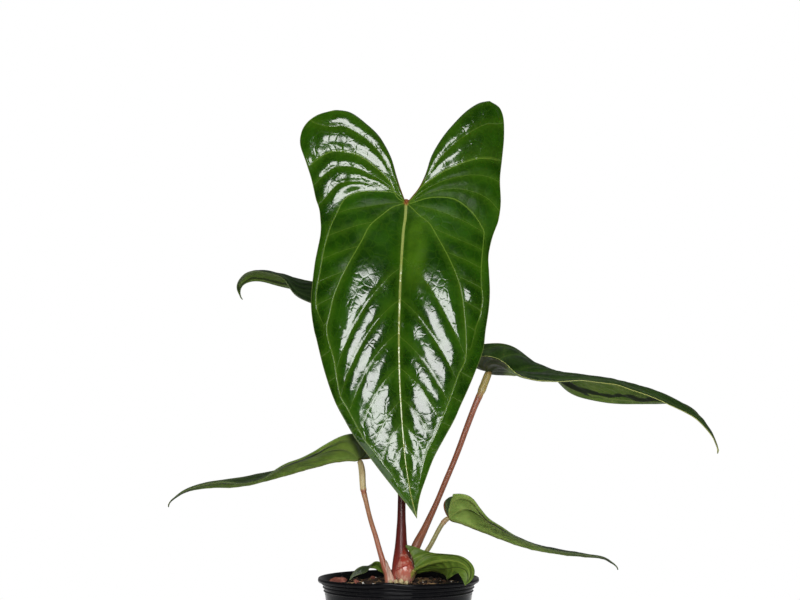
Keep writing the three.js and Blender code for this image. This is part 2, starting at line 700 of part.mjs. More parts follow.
for (const leaf of LEAVES) {
  place(`${leaf.name}_blade`, solidOf(bladeGeometry(leaf)), leaf.green, 0.3);
  const swollen = solidOf(bladeGeometry(leaf, SEAT_GAP));
  const { along } = leaf.line.at(0);
  const level = along.clone().cross(vector(leaf.face)).setLength(SEAT_GAP);
  const back = along.multiplyScalar(-SEAT_GAP);
  const clearBlade = [back, back.clone().add(level), back.clone().sub(level)].reduce(
    (solid, shift) => solid.add(swollen.translate(shift.toArray())),
    swollen,
  );
  const stem = solidOf(stemGeometry(leaf.petiole, leaf.sides, leaf.rings));
  place(`${leaf.name}_petiole`, trimmed(stem, clearBlade, ...stands), leaf.stalk, 0.45);
  stands.push(solidOf(stemGeometry(leaf.petiole, leaf.sides, leaf.rings, SEAT_GAP)));
}

const SHEATHS = [
  ["growth_bud", GROWTH_BUD, "#a8463a"],
  ["cataphyll", CATAPHYLL, "#b98a78"],
];
for (const [name, stations, color] of SHEATHS) {
  place(name, trimmed(solidOf(stemGeometry(stations, 10, 10)), ...stands), color, 0.4);
  stands.push(solidOf(stemGeometry(stations, 10, 10, SEAT_GAP)));
}

CLAY_CHIPS.forEach((chip, i) => {
  place(`clay_chip_${i + 1}`, solidOf(clayChip(chip)), "#8c4630", 0.9);
  stands.push(solidOf(clayChip(chip, SEAT_GAP)));
});

place("potting_mix", trimmed(mixSolid(), ...stands), "#3a2a20", 0.95);
place("nursery_pot", potGeometry(), "#17171a", 0.35);

export default part;
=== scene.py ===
"""The looks of a potted anthurium hybrid: fine leaves with their veins, stalks, bud, potting mix and pot.

Sizes are in millimetres, +Z up, in the frame of the part; they become metres when a mesh is made. The
front of the plant faces -Y.
"""

import math

import bmesh
import bpy
import numpy as np
from mathutils import Matrix, Vector
from mathutils.geometry import delaunay_2d_cdt


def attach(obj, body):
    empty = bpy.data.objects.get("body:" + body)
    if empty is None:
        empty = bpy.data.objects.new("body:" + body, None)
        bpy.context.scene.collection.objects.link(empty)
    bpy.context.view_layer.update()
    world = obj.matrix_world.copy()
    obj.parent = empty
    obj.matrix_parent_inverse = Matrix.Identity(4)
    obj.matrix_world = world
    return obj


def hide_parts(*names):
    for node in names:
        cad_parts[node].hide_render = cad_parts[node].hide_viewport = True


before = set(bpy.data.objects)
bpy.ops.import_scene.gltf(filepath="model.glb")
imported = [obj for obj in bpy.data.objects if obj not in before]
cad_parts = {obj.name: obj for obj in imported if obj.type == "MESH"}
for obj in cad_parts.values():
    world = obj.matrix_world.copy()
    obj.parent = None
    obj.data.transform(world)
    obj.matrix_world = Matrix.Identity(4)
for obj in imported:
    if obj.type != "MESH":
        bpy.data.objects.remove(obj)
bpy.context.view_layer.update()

MM = 0.001

# Driving sizes
POT_HEIGHT = 100
POT_FOOT_RADIUS = 42
POT_SHOULDER_RADIUS = 55.3
POT_SHOULDER_HEIGHT = 88
POT_RIM_RADIUS = 60.4
POT_WALL = 1.2
POT_FLOOR = 1.6
MIX_LEVEL = 93
MIX_MOUND = 3
BLADE_THICKNESS = 0.8
MARGIN_THICKNESS = 0.35

# How far apart the large leaf's side veins are. The other leaves' relief and veins are finer by theirs.
FRONT_PITCH = 38

# A blade's relief: the length and height of its slow and quick unevenness, the slope at which the large
# leaf's band beyond the collective vein drops, and the height of its midrib, veins and side veins
SLOW_WAVE = (60, 0.45)
QUICK_WAVE = (19, 0.24)
BAND_SLOPE = 0.32
MIDRIB_RISE = 0.45
VEIN_RISE = 0.55
SIDE_VEIN_SHARE = 0.5
RIDGE_WIDTH = 1.2

# A stalk's mesh, and how much of its tip is left off
STALK_SIDES = 28
STALK_RINGS = 160
STALK_SHORT = 1.4

# The camera stands level in front of the plant, at the height of the large leaf.
CAMERA_PLACE = (1.1, -2045, 308)
CAMERA_LENS = 122.7


# Numbers and curves


def smoothstep(value, low, high):
    t = np.clip((np.asarray(value, float) - low) / (high - low), 0, 1)
    return t * t * (3 - 2 * t)


def keyed(keys, place):
    """The value of a list of (place, value) keys, easing from each key to the next."""
    place = np.asarray(place, float)
    value = np.full(place.shape, float(keys[0][1]))
    for (start, before), (end, after) in zip(keys, keys[1:]):
        eased = before + (after - before) * smoothstep(place, start, end)
        value = np.where(place >= start, eased, value)
    return value


def flowing(keys, place):
    """The value of a list of (place, value) keys, on one smooth curve through them."""
    places, values = np.array(keys, float).T
    if len(keys) == 1:
        return np.full(np.shape(place), values[0])
    slopes = np.gradient(values, places)
    slopes[0] = slopes[-1] = 0
    spot = np.clip(place, places[0], places[-1])
    i = np.clip(np.searchsorted(places, spot, side="right") - 1, 0, len(places) - 2)
    width = places[i + 1] - places[i]
    t = (spot - places[i]) / width
    start, end, rise = slopes[i] * width, slopes[i + 1] * width, values[i + 1] - values[i]
    return values[i] + start * t + (3 * rise - 2 * start - end) * t**2 + (start + end - 2 * rise) * t**3


def unit(vectors):
    return vectors / np.linalg.norm(vectors, axis=-1, keepdims=True)


def spline(points, steps, clamped=False):
    """A smooth curve through points, with steps to each span. A clamped one starts and ends without
    overshoot."""
    points = np.asarray(points, float)
    before, after = (points[0], points[-1]) if clamped else (
        2 * points[0] - points[1], 2 * points[-1] - points[-2]
    )
    padded = np.vstack([before, points, after])
    t = np.linspace(0, 1, steps, endpoint=False)[:, None]
    spans = []
    for a, b, c, d in zip(padded, padded[1:], padded[2:], padded[3:]):
        start, end = (c - a) / 2, (d - b) / 2
        spans.append(
            b + start * t + (3 * (c - b) - 2 * start - end) * t**2 + (2 * (b - c) + start + end) * t**3
        )
    return np.vstack([*spans, points[-1:]])


def travelled(points):
    """How far each point of a line lies from its start."""
    return np.concatenate([[0], np.cumsum(np.linalg.norm(np.diff(points, axis=0), axis=1))])


def along_line(points, shares):
    """The points at equal shares of a line's length."""
    length = travelled(points)
    return np.stack([np.interp(shares * length[-1], length, column) for column in points.T], axis=1)


def waves(points, scale, seed, octaves=3):
    """Smooth unevenness between about -1 and 1, as a seeded sum of waves; scale is the size of its
    largest dips."""
    random = np.random.default_rng(seed)
    points = np.atleast_2d(np.asarray(points, float))
    total = np.zeros(len(points))
    for octave in range(octaves):
        for _ in range(5):
            direction = unit(random.normal(size=points.shape[1]))
            phase = random.uniform(0, 2 * np.pi)
            total += np.sin(points @ direction * 2 * np.pi * 2**octave / scale + phase) / 2**octave
    return total / (5**0.5 * 1.6)


# Meshes


def make_piece(name, points, faces, materials, slots=None, fields=None, replaces=(), slot=None):
    """A smooth-shaded piece from points in millimetres. Fields are what its material reads at each point."""
    mesh = bpy.data.meshes.new(name)
    mesh.from_pydata((np.asarray(points) * MM).tolist(), [], faces)
    mesh.polygons.foreach_set("use_smooth", [True] * len(mesh.polygons))
    for material in materials:
        mesh.materials.append(material)
    if slots is not None:
        mesh.polygons.foreach_set("material_index", slots)
    for field, values in (fields or {}).items():
        kind, entry = ("FLOAT_VECTOR", "vector") if np.ndim(values) == 2 else ("FLOAT", "value")
        layer = mesh.attributes.new(field, kind, "POINT")
        layer.data.foreach_set(entry, np.ravel(values).astype(float))
    mesh.validate()
    mesh.update()
    piece = bpy.data.objects.new(name, mesh)
    bpy.context.scene.collection.objects.link(piece)
    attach(piece, "root")
    if replaces:
        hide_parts(*replaces)
    return piece


class Pile:
    """Many small closed shapes gathered into one mesh."""

    def __init__(self):
        self.points, self.faces, self.slots, self.tones, self.count = [], [], [], [], 0

    def add(self, points, faces, slot=0, tone=0.5):
        self.points.append(points)
        self.faces += [tuple(int(i) + self.count for i in face) for face in faces]
        self.slots += [slot] * len(faces)
        self.tones.append(np.full(len(points), tone))
        self.count += len(points)

    def piece(self, name, materials, **settings):
        fields = {"tone": np.concatenate(self.tones)}
        points = np.vstack(self.points)
        return make_piece(name, points, self.faces, materials, self.slots, fields, **settings)


def tube(stations, sides, rings, shape=None, short=0):
    """A round stem along stations of (x, y, z, radius), closed at both ends. Shape changes its radius by
    angle and share of the length, and short is how much of its tip is left off. It gives points, faces,
    and at each point the length from its foot, its share and its angle."""
    stations = np.asarray(stations, float)
    curve = spline(stations, 24)
    length = travelled(curve[:, :3])
    shares = np.linspace(0, 1 - short / length[-1], rings + 1)
    line = along_line(curve[:, :3], shares)
    radius = np.interp(shares * length[-1], length, curve[:, 3])
    tangent = unit(np.gradient(line, axis=0))
    side = unit(np.cross(tangent[0], (0.31, 0.95, 0.05)))
    sides_of, ups = [], []
    for direction in tangent:
        side = unit(side - direction * (side @ direction))
        sides_of.append(side)
        ups.append(np.cross(direction, side))
    angle = np.arange(sides) * 2 * np.pi / sides
    grown = np.ones((rings + 1, sides)) if shape is None else shape(angle[None, :], shares[:, None])
    sideways = np.cos(angle)[:, None] * np.array(sides_of)[:, None]
    ring = sideways + np.sin(angle)[:, None] * np.array(ups)[:, None]
    points = line[:, None] + ring * (radius[:, None] * grown)[..., None]
    points = np.vstack([points.reshape(-1, 3), line[:1], line[-1:]])
    faces = []
    for r in range(rings):
        for s in range(sides):
            a, b = r * sides + s, r * sides + (s + 1) % sides
            faces.append((a, b, b + sides, a + sides))
    foot, tip = len(points) - 2, len(points) - 1
    last = rings * sides
    faces += [((s + 1) % sides, s, foot) for s in range(sides)]
    faces += [(last + s, last + (s + 1) % sides, tip) for s in range(sides)]
    share = np.concatenate([np.repeat(shares, sides), [0, 1]])
    turn = np.concatenate([np.tile(angle, rings + 1), [0, 0]])
    return points, faces, np.stack([share * length[-1], share, turn], axis=1)


def lathe(profile, sides):
    """A profile of (radius, height) turned about Z. A radius of 0 closes it on the axis."""
    points, rows = [], []
    angle = np.arange(sides) * 2 * np.pi / sides
    count = 0
    for radius, height in profile:
        if radius == 0:
            points.append([[0, 0, height]])
            rows.append([count] * sides)
            count += 1
        else:
            points.append(
                np.stack([radius * np.cos(angle), radius * np.sin(angle), np.full(sides, height)], axis=1)
            )
            rows.append(list(range(count, count + sides)))
            count += sides
    faces = []
    for low, high in zip(rows, rows[1:]):
        for s in range(sides):
            corners = [low[s], low[(s + 1) % sides], high[(s + 1) % sides], high[s]]
            face = tuple(dict.fromkeys(corners))
            if len(face) > 2:
                faces.append(face)
    return np.vstack(points), faces


# Materials


def tone(red, green, blue):
    """A colour given as it is seen, 0 to 255, as the linear one that shaders take."""
    seen = np.array([red, green, blue]) / 255
    linear = np.where(seen <= 0.04045, seen / 12.92, ((seen + 0.055) / 1.055) ** 2.4)
    return (*linear, 1)


# The dark green of painted shade, put in the undersides' creases and over their shadowed bases
PAINTED_SHADE = tone(22, 34, 10)
BLUSH = tone(140, 86, 40)
SINUS_RED = tone(120, 56, 30)


class Shader:
    """A material's node tree, written as calls. Values may be numbers or the sockets that other calls
    give."""

    def __init__(self, name):
        self.material = bpy.data.materials.new(name)
        self.material.use_nodes = True
        self.tree = self.material.node_tree
        self.tree.nodes.clear()

    def node(self, kind, inputs=None, output=0, **settings):
        node = self.tree.nodes.new(kind)
        for key, value in settings.items():
            setattr(node, key, value)
        for key, value in (inputs or {}).items():
            if isinstance(value, bpy.types.NodeSocket):
                self.tree.links.new(value, node.inputs[key])
            else:
                node.inputs[key].default_value = value
        return node.outputs[output] if node.outputs else node

    def math(self, operation, *values):
        return self.node("ShaderNodeMath", dict(enumerate(values)), operation=operation)

    def times(self, a, b):
        return self.math("MULTIPLY", a, b)

    def plus(self, a, b):
        return self.math("ADD", a, b)

    def minus(self, a, b):
        return self.math("SUBTRACT", a, b)

    def ease(self, value, low, high, start=0.0, end=1.0):
        inputs = {"Value": value, "From Min": low, "From Max": high, "To Min": start, "To Max": end}
        return self.node("ShaderNodeMapRange", inputs, interpolation_type="SMOOTHSTEP")

    def blend(self, share, first, second, kind="MIX"):
        settings = {"data_type": "RGBA", "blend_type": kind}
        return self.node("ShaderNodeMix", {0: share, 6: first, 7: second}, output=2, **settings)

    def field(self, name):
        """A field of single numbers that the mesh carries."""
        return self.node("ShaderNodeAttribute", output=2, attribute_name=name)

    def fields(self, name):
        """A field of vectors that the mesh carries, as its three numbers."""
        vector = self.node("ShaderNodeAttribute", output=1, attribute_name=name)
        split = self.node("ShaderNodeSeparateXYZ", {0: vector}).node
        return vector, *split.outputs

    def ramp(self, value, stops):
        """Colours by value, from a list of (value, colour)."""
        ramp = self.node("ShaderNodeValToRGB", {0: value})
        elements = ramp.node.color_ramp.elements
        elements.remove(elements[1])
        elements[0].position, elements[0].color = stops[0]
        for position, colour in stops[1:]:
            elements.new(position).color = colour
        return ramp

    def line(self, distance, width, strength=1.0):
        """Where a signed distance is within a width of nought, with a soft edge."""
        near = self.ease(self.math("ABSOLUTE", distance), self.times(width, 0.45), width, 1.0, 0.0)
        return self.times(near, strength)

    def cells(self, vector, scale, feature="DISTANCE_TO_EDGE"):
        """The distance from the nearest border between cells, or another feature of them."""
        inputs = {"Vector": vector, "Scale": scale}
        return self.node("ShaderNodeTexVoronoi", inputs, feature=feature)

    def place(self):
        return self.node("ShaderNodeTexCoord", output=3)

    def stem_streaks(self, scale, along):
        """The share of a stem's length at a point, and noise drawn out lengthwise: along is how much of
        it changes with each millimetre."""
        _, length, share, angle = self.fields("stem")
        turned = self.node("ShaderNodeCombineXYZ", {
            0: self.math("COSINE", angle), 1: self.math("SINE", angle), 2: self.times(length, along),
        })
        return share, self.noise(turned, scale, detail=4)

    def noise(self, vector, scale, detail=3.0, roughness=0.5, stretch=(1, 1, 1)):
        moved = self.node("ShaderNodeVectorMath", {0: vector, 1: stretch}, operation="MULTIPLY")
        inputs = {"Vector": moved, "Scale": scale, "Detail": detail, "Roughness": roughness}
        return self.node("ShaderNodeTexNoise", inputs)

    def bump(self, height, distance, strength=1.0, normal=None):
        inputs = {"Height": height, "Distance": distance, "Strength": strength}
        if normal is not None:
            inputs["Normal"] = normal
        return self.node("ShaderNodeBump", inputs)

    def finish(self, **inputs):
        named = {key.replace("_", " ").title(): value for key, value in inputs.items()}
        if "Specular Ior Level" in named:
            named["Specular IOR Level"] = named.pop("Specular Ior Level")
        surface = self.node("ShaderNodeBsdfPrincipled", named)
        self.node("ShaderNodeOutputMaterial", {"Surface": surface})
        return self.material


# Leaf outlines. Each half is drawn flat as (across, along) from the petiole: the lobe's inner edge and
# outer edge both start at the lobe's top, and the side runs from beside the petiole to the tip.

FRONT_LEFT = {
    "inner": [
        (55, -72), (48, -72.8), (40.5, -70.4), (31, -63), (20.5, -52.5), (12, -37), (7.5, -22),
        (4.5, -12), (0, 0),
    ],
    "outer": [
        (55, -72), (62, -71.6), (69.2, -69), (75.8, -64), (80, -57), (81, -47), (76.5, -33), (72, -18),
        (68.5, -1), (64.5, 15), (62.5, 27), (64, 40), (65.5, 52), (67, 79), (65, 96), (62, 107),
        (56.5, 128), (49.5, 150), (42.5, 165), (35.5, 178.5), (26.5, 192), (18, 206), (10.5, 219),
        (4.5, 230), (0, 242),
    ],
}
FRONT_RIGHT = {
    "inner": [
        (64.5, -81.4), (57.5, -80.6), (48, -74.4), (39, -65.5), (28, -52), (19.5, -37.5), (15, -24),
        (10, -13), (4.5, -5.5), (0, 0),
    ],
    "outer": [
        (64.5, -81.4), (70, -80), (74.2, -76.2), (76.6, -68), (76.5, -53), (74.5, -36.5), (72.5, -20.5),
        (73, -4.5), (71.5, 6), (68.5, 16), (66, 35), (67, 50), (68, 65), (67.5, 81), (66, 96), (64, 113),
        (58, 130), (51.5, 145), (44.5, 159), (39, 170), (31, 183), (21.5, 198), (14, 212), (7, 225),
        (2, 236), (0, 242),
    ],
}

# The leaf that leans over the rim has one basal lobe that stands up like an ear, and hardly any other.
RIM_UPPER = {
    "inner": [(19.5, 2), (13.5, 2.4), (8, 2.4), (3, 1.5), (0, 0)],
    "outer": [
        (19.5, 2), (15.5, 6), (11.5, 10), (9, 15), (7.5, 22), (6.5, 30), (6, 38), (5, 46), (4, 53), (0, 62)
    ],
    "turn": 10,
}
RIM_LOWER = {
    "inner": [(7, -1), (3.5, -1), (0, 0)],
    "outer": [
        (7, -1), (9, 4), (11, 10), (12.5, 20), (14, 30), (15, 38), (15, 44), (11, 51), (6, 57), (0, 62)
    ],
}

# The other leaves share one outline, as shares of half the width, of the lobe's depth and of the length.
SMALL_INNER = [(0.42, -1), (0.24, -0.8), (0.1, -0.42), (0, 0)]
SMALL_OUTER = [
    (0.42, -1), (0.68, -0.9), (0.88, -0.5), (0.97, 0), (1, 0.1), (1, 0.2), (0.95, 0.33), (0.84, 0.47),
    (0.68, 0.6), (0.49, 0.73), (0.3, 0.84), (0.13, 0.93), (0.04, 0.975), (0, 1),
]

# The veins of a half, flat like its outline: the main one bows out and becomes the collective vein that
# the side veins run into, the outer one follows the margin, and the basal one runs into the lobe. Starts
# are the places on the midrib where the side veins leave it.
FRONT_LEFT_VEINS = {
    "main": [
        (0, 0), (5, 2), (12, 6), (21, 16), (26, 23), (31.5, 36), (38.5, 51), (44, 63), (49, 76), (52, 90),
        (53.5, 96), (53, 105), (48.5, 120), (47, 130), (44.5, 147), (39.5, 157), (33.5, 170), (28.5, 180),
        (23.5, 187), (16.5, 198), (10.5, 208), (6, 223), (1, 238),
    ],
    "outer": [
        (0, 0), (8, -7), (16, -8), (25, -8), (38, -7), (47, 0), (53, 18), (58, 37), (60.5, 57),
        (62.5, 71), (62, 84), (57, 95), (54, 103),
    ],
    "basal": [
        (0, 0), (7, -4), (12.5, -16), (22, -26), (35, -36), (47.5, -40), (57.5, -40), (67, -35), (76, -27)
    ],
    "starts": [51, 76, 101, 127, 153, 170, 187, 200, 213, 224],
}
FRONT_RIGHT_VEINS = {
    "main": [
        (0, 0), (2.5, 2), (10, 9), (20, 17), (29, 32), (37.5, 48), (44.5, 66), (48.5, 88), (50, 111),
        (49, 124), (43, 137), (36, 155), (30, 168), (23, 182), (16, 194), (11, 206), (6, 220), (1, 237),
    ],
    "outer": [
        (0, 0), (4.5, 0), (18, -4), (34, -4), (45.5, 1), (53.5, 7), (58, 12), (61, 18), (60.5, 38),
        (60.5, 57), (62, 72), (61, 85), (58, 95), (54, 112), (48, 126),
    ],
    "basal": [(0, 0), (4, -3), (10, -11), (26, -23), (42, -31), (54, -35), (66, -36), (75, -34)],
    "starts": [42, 75, 104, 128, 151, 170, 187, 202, 215, 226],
}
SMALL_VEINS = {
    "main": [
        (0, 0), (0.2, 0.02), (0.46, 0.07), (0.68, 0.16), (0.76, 0.27), (0.72, 0.42), (0.6, 0.56),
        (0.43, 0.71), (0.25, 0.84), (0.1, 0.93), (0.02, 0.98),
    ],
    "outer": [(0, 0), (0.3, -0.3), (0.6, -0.2), (0.84, 0.04), (0.9, 0.15), (0.88, 0.27), (0.8, 0.4)],
    "basal": [(0, 0), (0.14, -0.35), (0.32, -0.68), (0.46, -0.86)],
}

FRONT_FOLD = [(-0.2, 2), (0.5, 4), (1, 0)]
FRONT_CURL = [(-0.3, -8), (0.3, -14), (1, -6)]

# The leaves. A midrib is a list of points, the first one behind the petiole. The face is the way the
# upper surface looks. On each half, fold is the angle at which it leaves the midrib and curl the further
# turn out to its margin, both in degrees and positive upwards, by share of the length. Hump is the swell
# of each half and quilt the relief between its side veins, which stand a pitch apart. Plus is the half on
# the side of along x face: the viewer's left on the front leaf, the near side on leaves that point right,
# and the far side on leaves that point left. A grid is the rows of a lobe, the rows of the side and the
# columns of a half.
LEAVES = {
    "front": {
        "midrib": [
            (5.7, 34, 453), (5.7, 20, 381.4), (3.4, 14, 357), (1.1, 3, 315.5), (0.4, -10, 263.2),
            (3.7, -22, 202.7), (8.5, -27, 167.4), (13.7, -27, 145.9),
        ],
        "face": (0, -1, 0),
        "plus": {"outline": FRONT_LEFT, "veins": FRONT_LEFT_VEINS, "fold": FRONT_FOLD, "curl": FRONT_CURL},
        "minus": {
            "outline": FRONT_RIGHT, "veins": FRONT_RIGHT_VEINS, "fold": FRONT_FOLD,
            "curl": [(-0.3, -20), (0, -17), (0.3, -14), (1, -6)],
        },
        "reach": 66,
        "hump": [(-0.3, 3), (0, 3.4), (0.24, 8), (0.5, 5), (0.8, 1.5), (1, 0)],
        "quilt": 1.1,
        "smooth": [
            (-0.3, 0.8), (-0.05, 0.7), (0.04, 0.2), (0.2, 0.3), (0.36, 0.9), (0.55, 0.62), (0.75, 0.34),
            (1, 0.15)
        ],
        "pitch": FRONT_PITCH,
        "keel": 2.2,
        "grid": (62, 170, 44),
        "petiole": [
            (2.6, -3, 95.8, 7.6), (2.0, -3.5, 108, 7.2), (1.9, -4, 124.6, 4.8), (2.1, -3.5, 137, 3.8),
            (2.2, -3, 150, 3.1), (2.6, 2, 195, 2.8), (3.4, 15, 270, 2.6), (4.9, 27, 346, 2.7),
            (5.7, 29, 370, 3.1), (5.7, 25.5, 379, 3.1), (5.7, 20, 383, 2.6),
        ],
    },
    "back_left": {
        "midrib": [
            (8.8, 50, 304.2), (-10.5, 55, 307.2), (-37.5, 62, 315.7), (-67.9, 68, 322.3),
            (-88.2, 72, 327), (-105.4, 75, 330.2), (-115.6, 77, 329), (-122.7, 78, 323.6),
            (-125.1, 79, 316.6), (-122.4, 79, 308),
        ],
        "face": (-0.6, 0, 1),
        "plus": {
            "halfWidth": 27, "lobe": 20,
            "fold": [(0, -20), (0.55, -34), (0.7, -42), (0.85, -48), (1, -20)],
        },
        "minus": {
            "halfWidth": 27, "lobe": 20,
            "fold": [(0, -22), (0.41, -28), (0.48, -22), (0.57, 4), (0.7, 8), (1, 6)],
        },
        "reach": 27,
        "hump": [(0, 1), (0.5, 0.5), (1, 0)],
        "quilt": 0.5,
        "pitch": 26,
        "keel": 1.2,
        "grid": (22, 90, 18),
        "petiole": [
            (2.5, 6, 96, 2.6), (1.9, 9, 108, 2.3), (1.8, 12, 122, 2.1), (1.5, 18, 149, 2),
            (0.3, 27, 194, 1.9), (-3.5, 40, 254, 1.9), (-7.5, 49, 290, 2.1), (-9.6, 53, 301, 2.2),
            (-10.5, 55, 307, 1.9),
        ],
    },
    "right_high": {
        "midrib": [
            (48.5, 38, 256.1), (69.3, 45, 253.6), (89.6, 50, 252.6), (111.2, 55, 252), (133.8, 59, 250.8),
            (168.2, 64, 245), (202.5, 67, 236.8), (229, 69, 222.5), (243.1, 70, 206), (249, 71, 189.3),
        ],
        "face": (0, 0, 1),
        "plus": {
            "halfWidth": 40, "lobe": 22,
            "fold": [
                (-0.1, 20), (0, 10), (0.05, 0), (0.21, -8), (0.33, -5), (0.48, -2), (0.52, -4),
                (0.63, -11), (0.69, -16), (0.8, -20), (1, -30),
            ],
        },
        "minus": {
            "halfWidth": 40, "lobe": 26,
            "fold": [
                (-0.1, 26), (0.16, 25), (0.2, 16), (0.27, 0), (0.35, -20), (0.44, -27), (0.6, -28),
                (0.68, -21), (0.76, -4), (1, -6),
            ],
        },
        "reach": 40,
        "hump": [(0, 1.2), (1, 0)],
        "quilt": 0.7,
        "pitch": 30,
        "keel": 1.6,
        "grid": (30, 130, 26),
        "petiole": [
            (4.1, 3, 97.7, 5), (8, 4, 110, 4.2), (13.9, 6, 124.5, 3.5), (19.9, 10, 136.2, 2.8),
            (28.3, 16, 153.8, 2.2), (36, 22, 171.6, 2.2), (43.7, 27, 189.5, 2.2), (50.6, 32, 207.5, 2.3),
            (57.6, 37, 225.5, 2.4), (63, 40, 237.7, 2.8), (67.7, 43, 249.5, 3), (70, 44.6, 254.5, 2.2),
        ],
    },
    "left_low": {
        "midrib": [
            (-15.5, 18, 187), (-30, 22, 187.4), (-46.7, 25, 187), (-67.8, 28, 181.8), (-92, 30, 174.4),
            (-118.8, 31, 167.8), (-147.4, 31, 165.8), (-162.6, 31, 162.6), (-172.5, 31, 156.1),
            (-176.1, 31, 150.8),
        ],
        "face": (0, 0, 1),
        "plus": {
            "halfWidth": 27, "lobe": 9,
            "fold": [(0, 8), (0.4, 10), (0.5, 14), (0.6, 17), (0.8, 15), (1, 3)],
        },
        "minus": {
            "halfWidth": 27, "lobe": 9,
            "fold": [
                (0, 50), (0.06, 43), (0.1, 34), (0.17, 23), (0.24, 18), (0.4, 16), (0.47, 8), (0.6, 9),
                (0.69, 19), (0.8, 16), (1, 0),
            ],
        },
        "reach": 27,
        "hump": [(0, 0.8), (1, 0)],
        "quilt": 0.5,
        "pitch": 24,
        "keel": 1.4,
        "grid": (18, 100, 20),
        "petiole": [
            (-6, -5, 95.5, 4.3), (-6.8, -5, 99, 3.8), (-8.3, -4.5, 103.5, 3), (-10.4, -4, 108, 2.5),
            (-13.9, -2, 119.2, 2.1), (-17.3, 1, 130.9, 1.9), (-21.1, 5, 142.6, 1.8),
            (-24.1, 9, 154.3, 1.8), (-26.8, 13, 166.1, 2.3), (-27.6, 17, 177.9, 2.5),
            (-29, 21, 184.6, 2.2), (-30.6, 22.4, 186.2, 1.8),
        ],
    },
    "right_low": {
        "midrib": [
            (32, 10, 147.5), (38.4, 8, 144), (50.7, 5, 140.4), (71.6, 1, 132.6), (94.7, -2, 124.4),
            (117.1, -4, 119.5), (139.5, -5, 117), (153, -5, 115.6), (160.4, -5, 111.6),
            (164.9, -5, 106.8),
        ],
        "face": (0, 0, 1),
        "plus": {
            "halfWidth": 27, "lobe": 2,
            "fold": [
                (0, 52), (0.09, 55), (0.16, 40), (0.22, 29), (0.31, 22), (0.47, 16), (0.6, 12), (0.8, 10),
                (1, 0)
            ],
        },
        "minus": {
            "halfWidth": 25, "lobe": 11,
            "fold": [(-0.1, 45), (0.05, 25), (0.2, 10), (0.35, -2), (0.6, 6), (1, 0)],
        },
        "reach": 24,
        "hump": [(0, 0.8), (1, 0)],
        "quilt": 0.5,
        "pitch": 22,
        "keel": 1.4,
        "grid": (16, 90, 20),
        "petiole": [
            (8.6, 0, 98, 2.4), (15, 2, 109.8, 2), (20.6, 3, 118.5, 1.8), (24.5, 3.2, 124.7, 1.8),
            (30.6, 5.6, 136, 1.8), (34.8, 7.4, 141.8, 2), (39, 8, 144.6, 1.6),
        ],
    },
    "over_rim": {
        "midrib": [
            (7.1, -17, 101.9), (12.2, -18, 107.3), (21.9, -22, 112.2), (32.9, -28, 115), (43.1, -36, 115),
            (50.3, -42, 111.2), (51.7, -45, 104.8), (48.7, -46, 98.6),
        ],
        "face": (0, 1, -0.15),
        "plus": {
            "outline": RIM_UPPER, "fold": [(0, 5), (0.1, 15), (0.25, 38), (0.6, 35), (0.8, 20), (1, 10)]
        },
        "minus": {
            "outline": RIM_LOWER,
            "fold": [(0, 60), (0.14, 56), (0.25, 46), (0.39, 28), (0.51, 12), (0.66, 0), (1, 0)],
        },
        "reach": 13,
        "hump": [(0, 0.4), (1, 0)],
        "quilt": 0.3,
        "pitch": 14,
        "keel": 1,
        "grid": (26, 70, 20),
        "petiole": [
            (5, -7, 96, 2), (7.4, -10.5, 99.2, 1.7), (9.6, -14, 102.8, 1.5), (11.2, -16.6, 106, 1.5),
            (12.6, -18.2, 108, 1.2),
        ],
    },
    "left_small": {
        "midrib": [
            (-7.4, 6, 99), (-11.7, 6, 103.4), (-16.9, 6, 107), (-22.9, 5, 107.8), (-28.9, 3, 106.8),
            (-34.2, 1, 102.7), (-36.8, 0, 97.6),
        ],
        "face": (0, 0, 1),
        "plus": {"halfWidth": 8, "lobe": 3, "fold": [(0, -10)]},
        "minus": {"halfWidth": 8, "lobe": 3, "fold": [(0, 38), (0.3, 30), (0.55, -40), (1, -62)]},
        "reach": 8,
        "hump": [(0, 0.3), (1, 0)],
        "quilt": 0.2,
        "pitch": 10,
        "keel": 0.8,
        "grid": (12, 50, 14),
        "petiole": [(-3, 2, 96, 1.5), (-6.5, 4, 98.8, 1.3), (-9.6, 5.6, 101.6, 1.2), (-12, 6, 103.8, 1)],
    },
}


# Leaf blades

# What a blade's materials read at each of its points, three numbers to a field
BLADE_FIELDS = {
    "flat": ("across", "place", "level"),
    "veins": ("secondary", "outer", "main"),
    "strengths": ("basal_share", "outer_share", "main_share"),
    "basal": ("basal", "midrib_width", "crown"),
    "edges": ("margin", "sinus", "share"),
}


class Midrib:
    """A midrib's line in space. Places are measured along it from the petiole, negative on the basal
    lobes."""

    def __init__(self, points, ease):
        steps = 24
        self.points = spline(points, steps)
        lengths = travelled(self.points)
        self.places = lengths - lengths[steps]
        self.length = self.places[-1]
        self.ease = ease

    def point(self, place):
        after = np.clip(np.searchsorted(self.places, place, side="right"), 1, len(self.places) - 1)
        share = ((place - self.places[after - 1]) / (self.places[after] - self.places[after - 1]))[:, None]
        return self.points[after - 1] * (1 - share) + self.points[after] * share

    def at(self, place):
        """The point at a place and the way along, eased over a stretch so that the blade turns gently."""
        return self.point(place), unit(self.point(place + self.ease) - self.point(place - self.ease))


def by_half(leaf, across, key, place):
    """The keyed value of fold or curl at places, each read from the half that it lies on."""
    share = place / leaf["line"].length
    flat = [(0, 0)]
    plus, minus = (flowing(leaf[half].get(key, flat), share) for half in ("plus", "minus"))
    return np.radians(np.where(across >= 0, plus, minus))


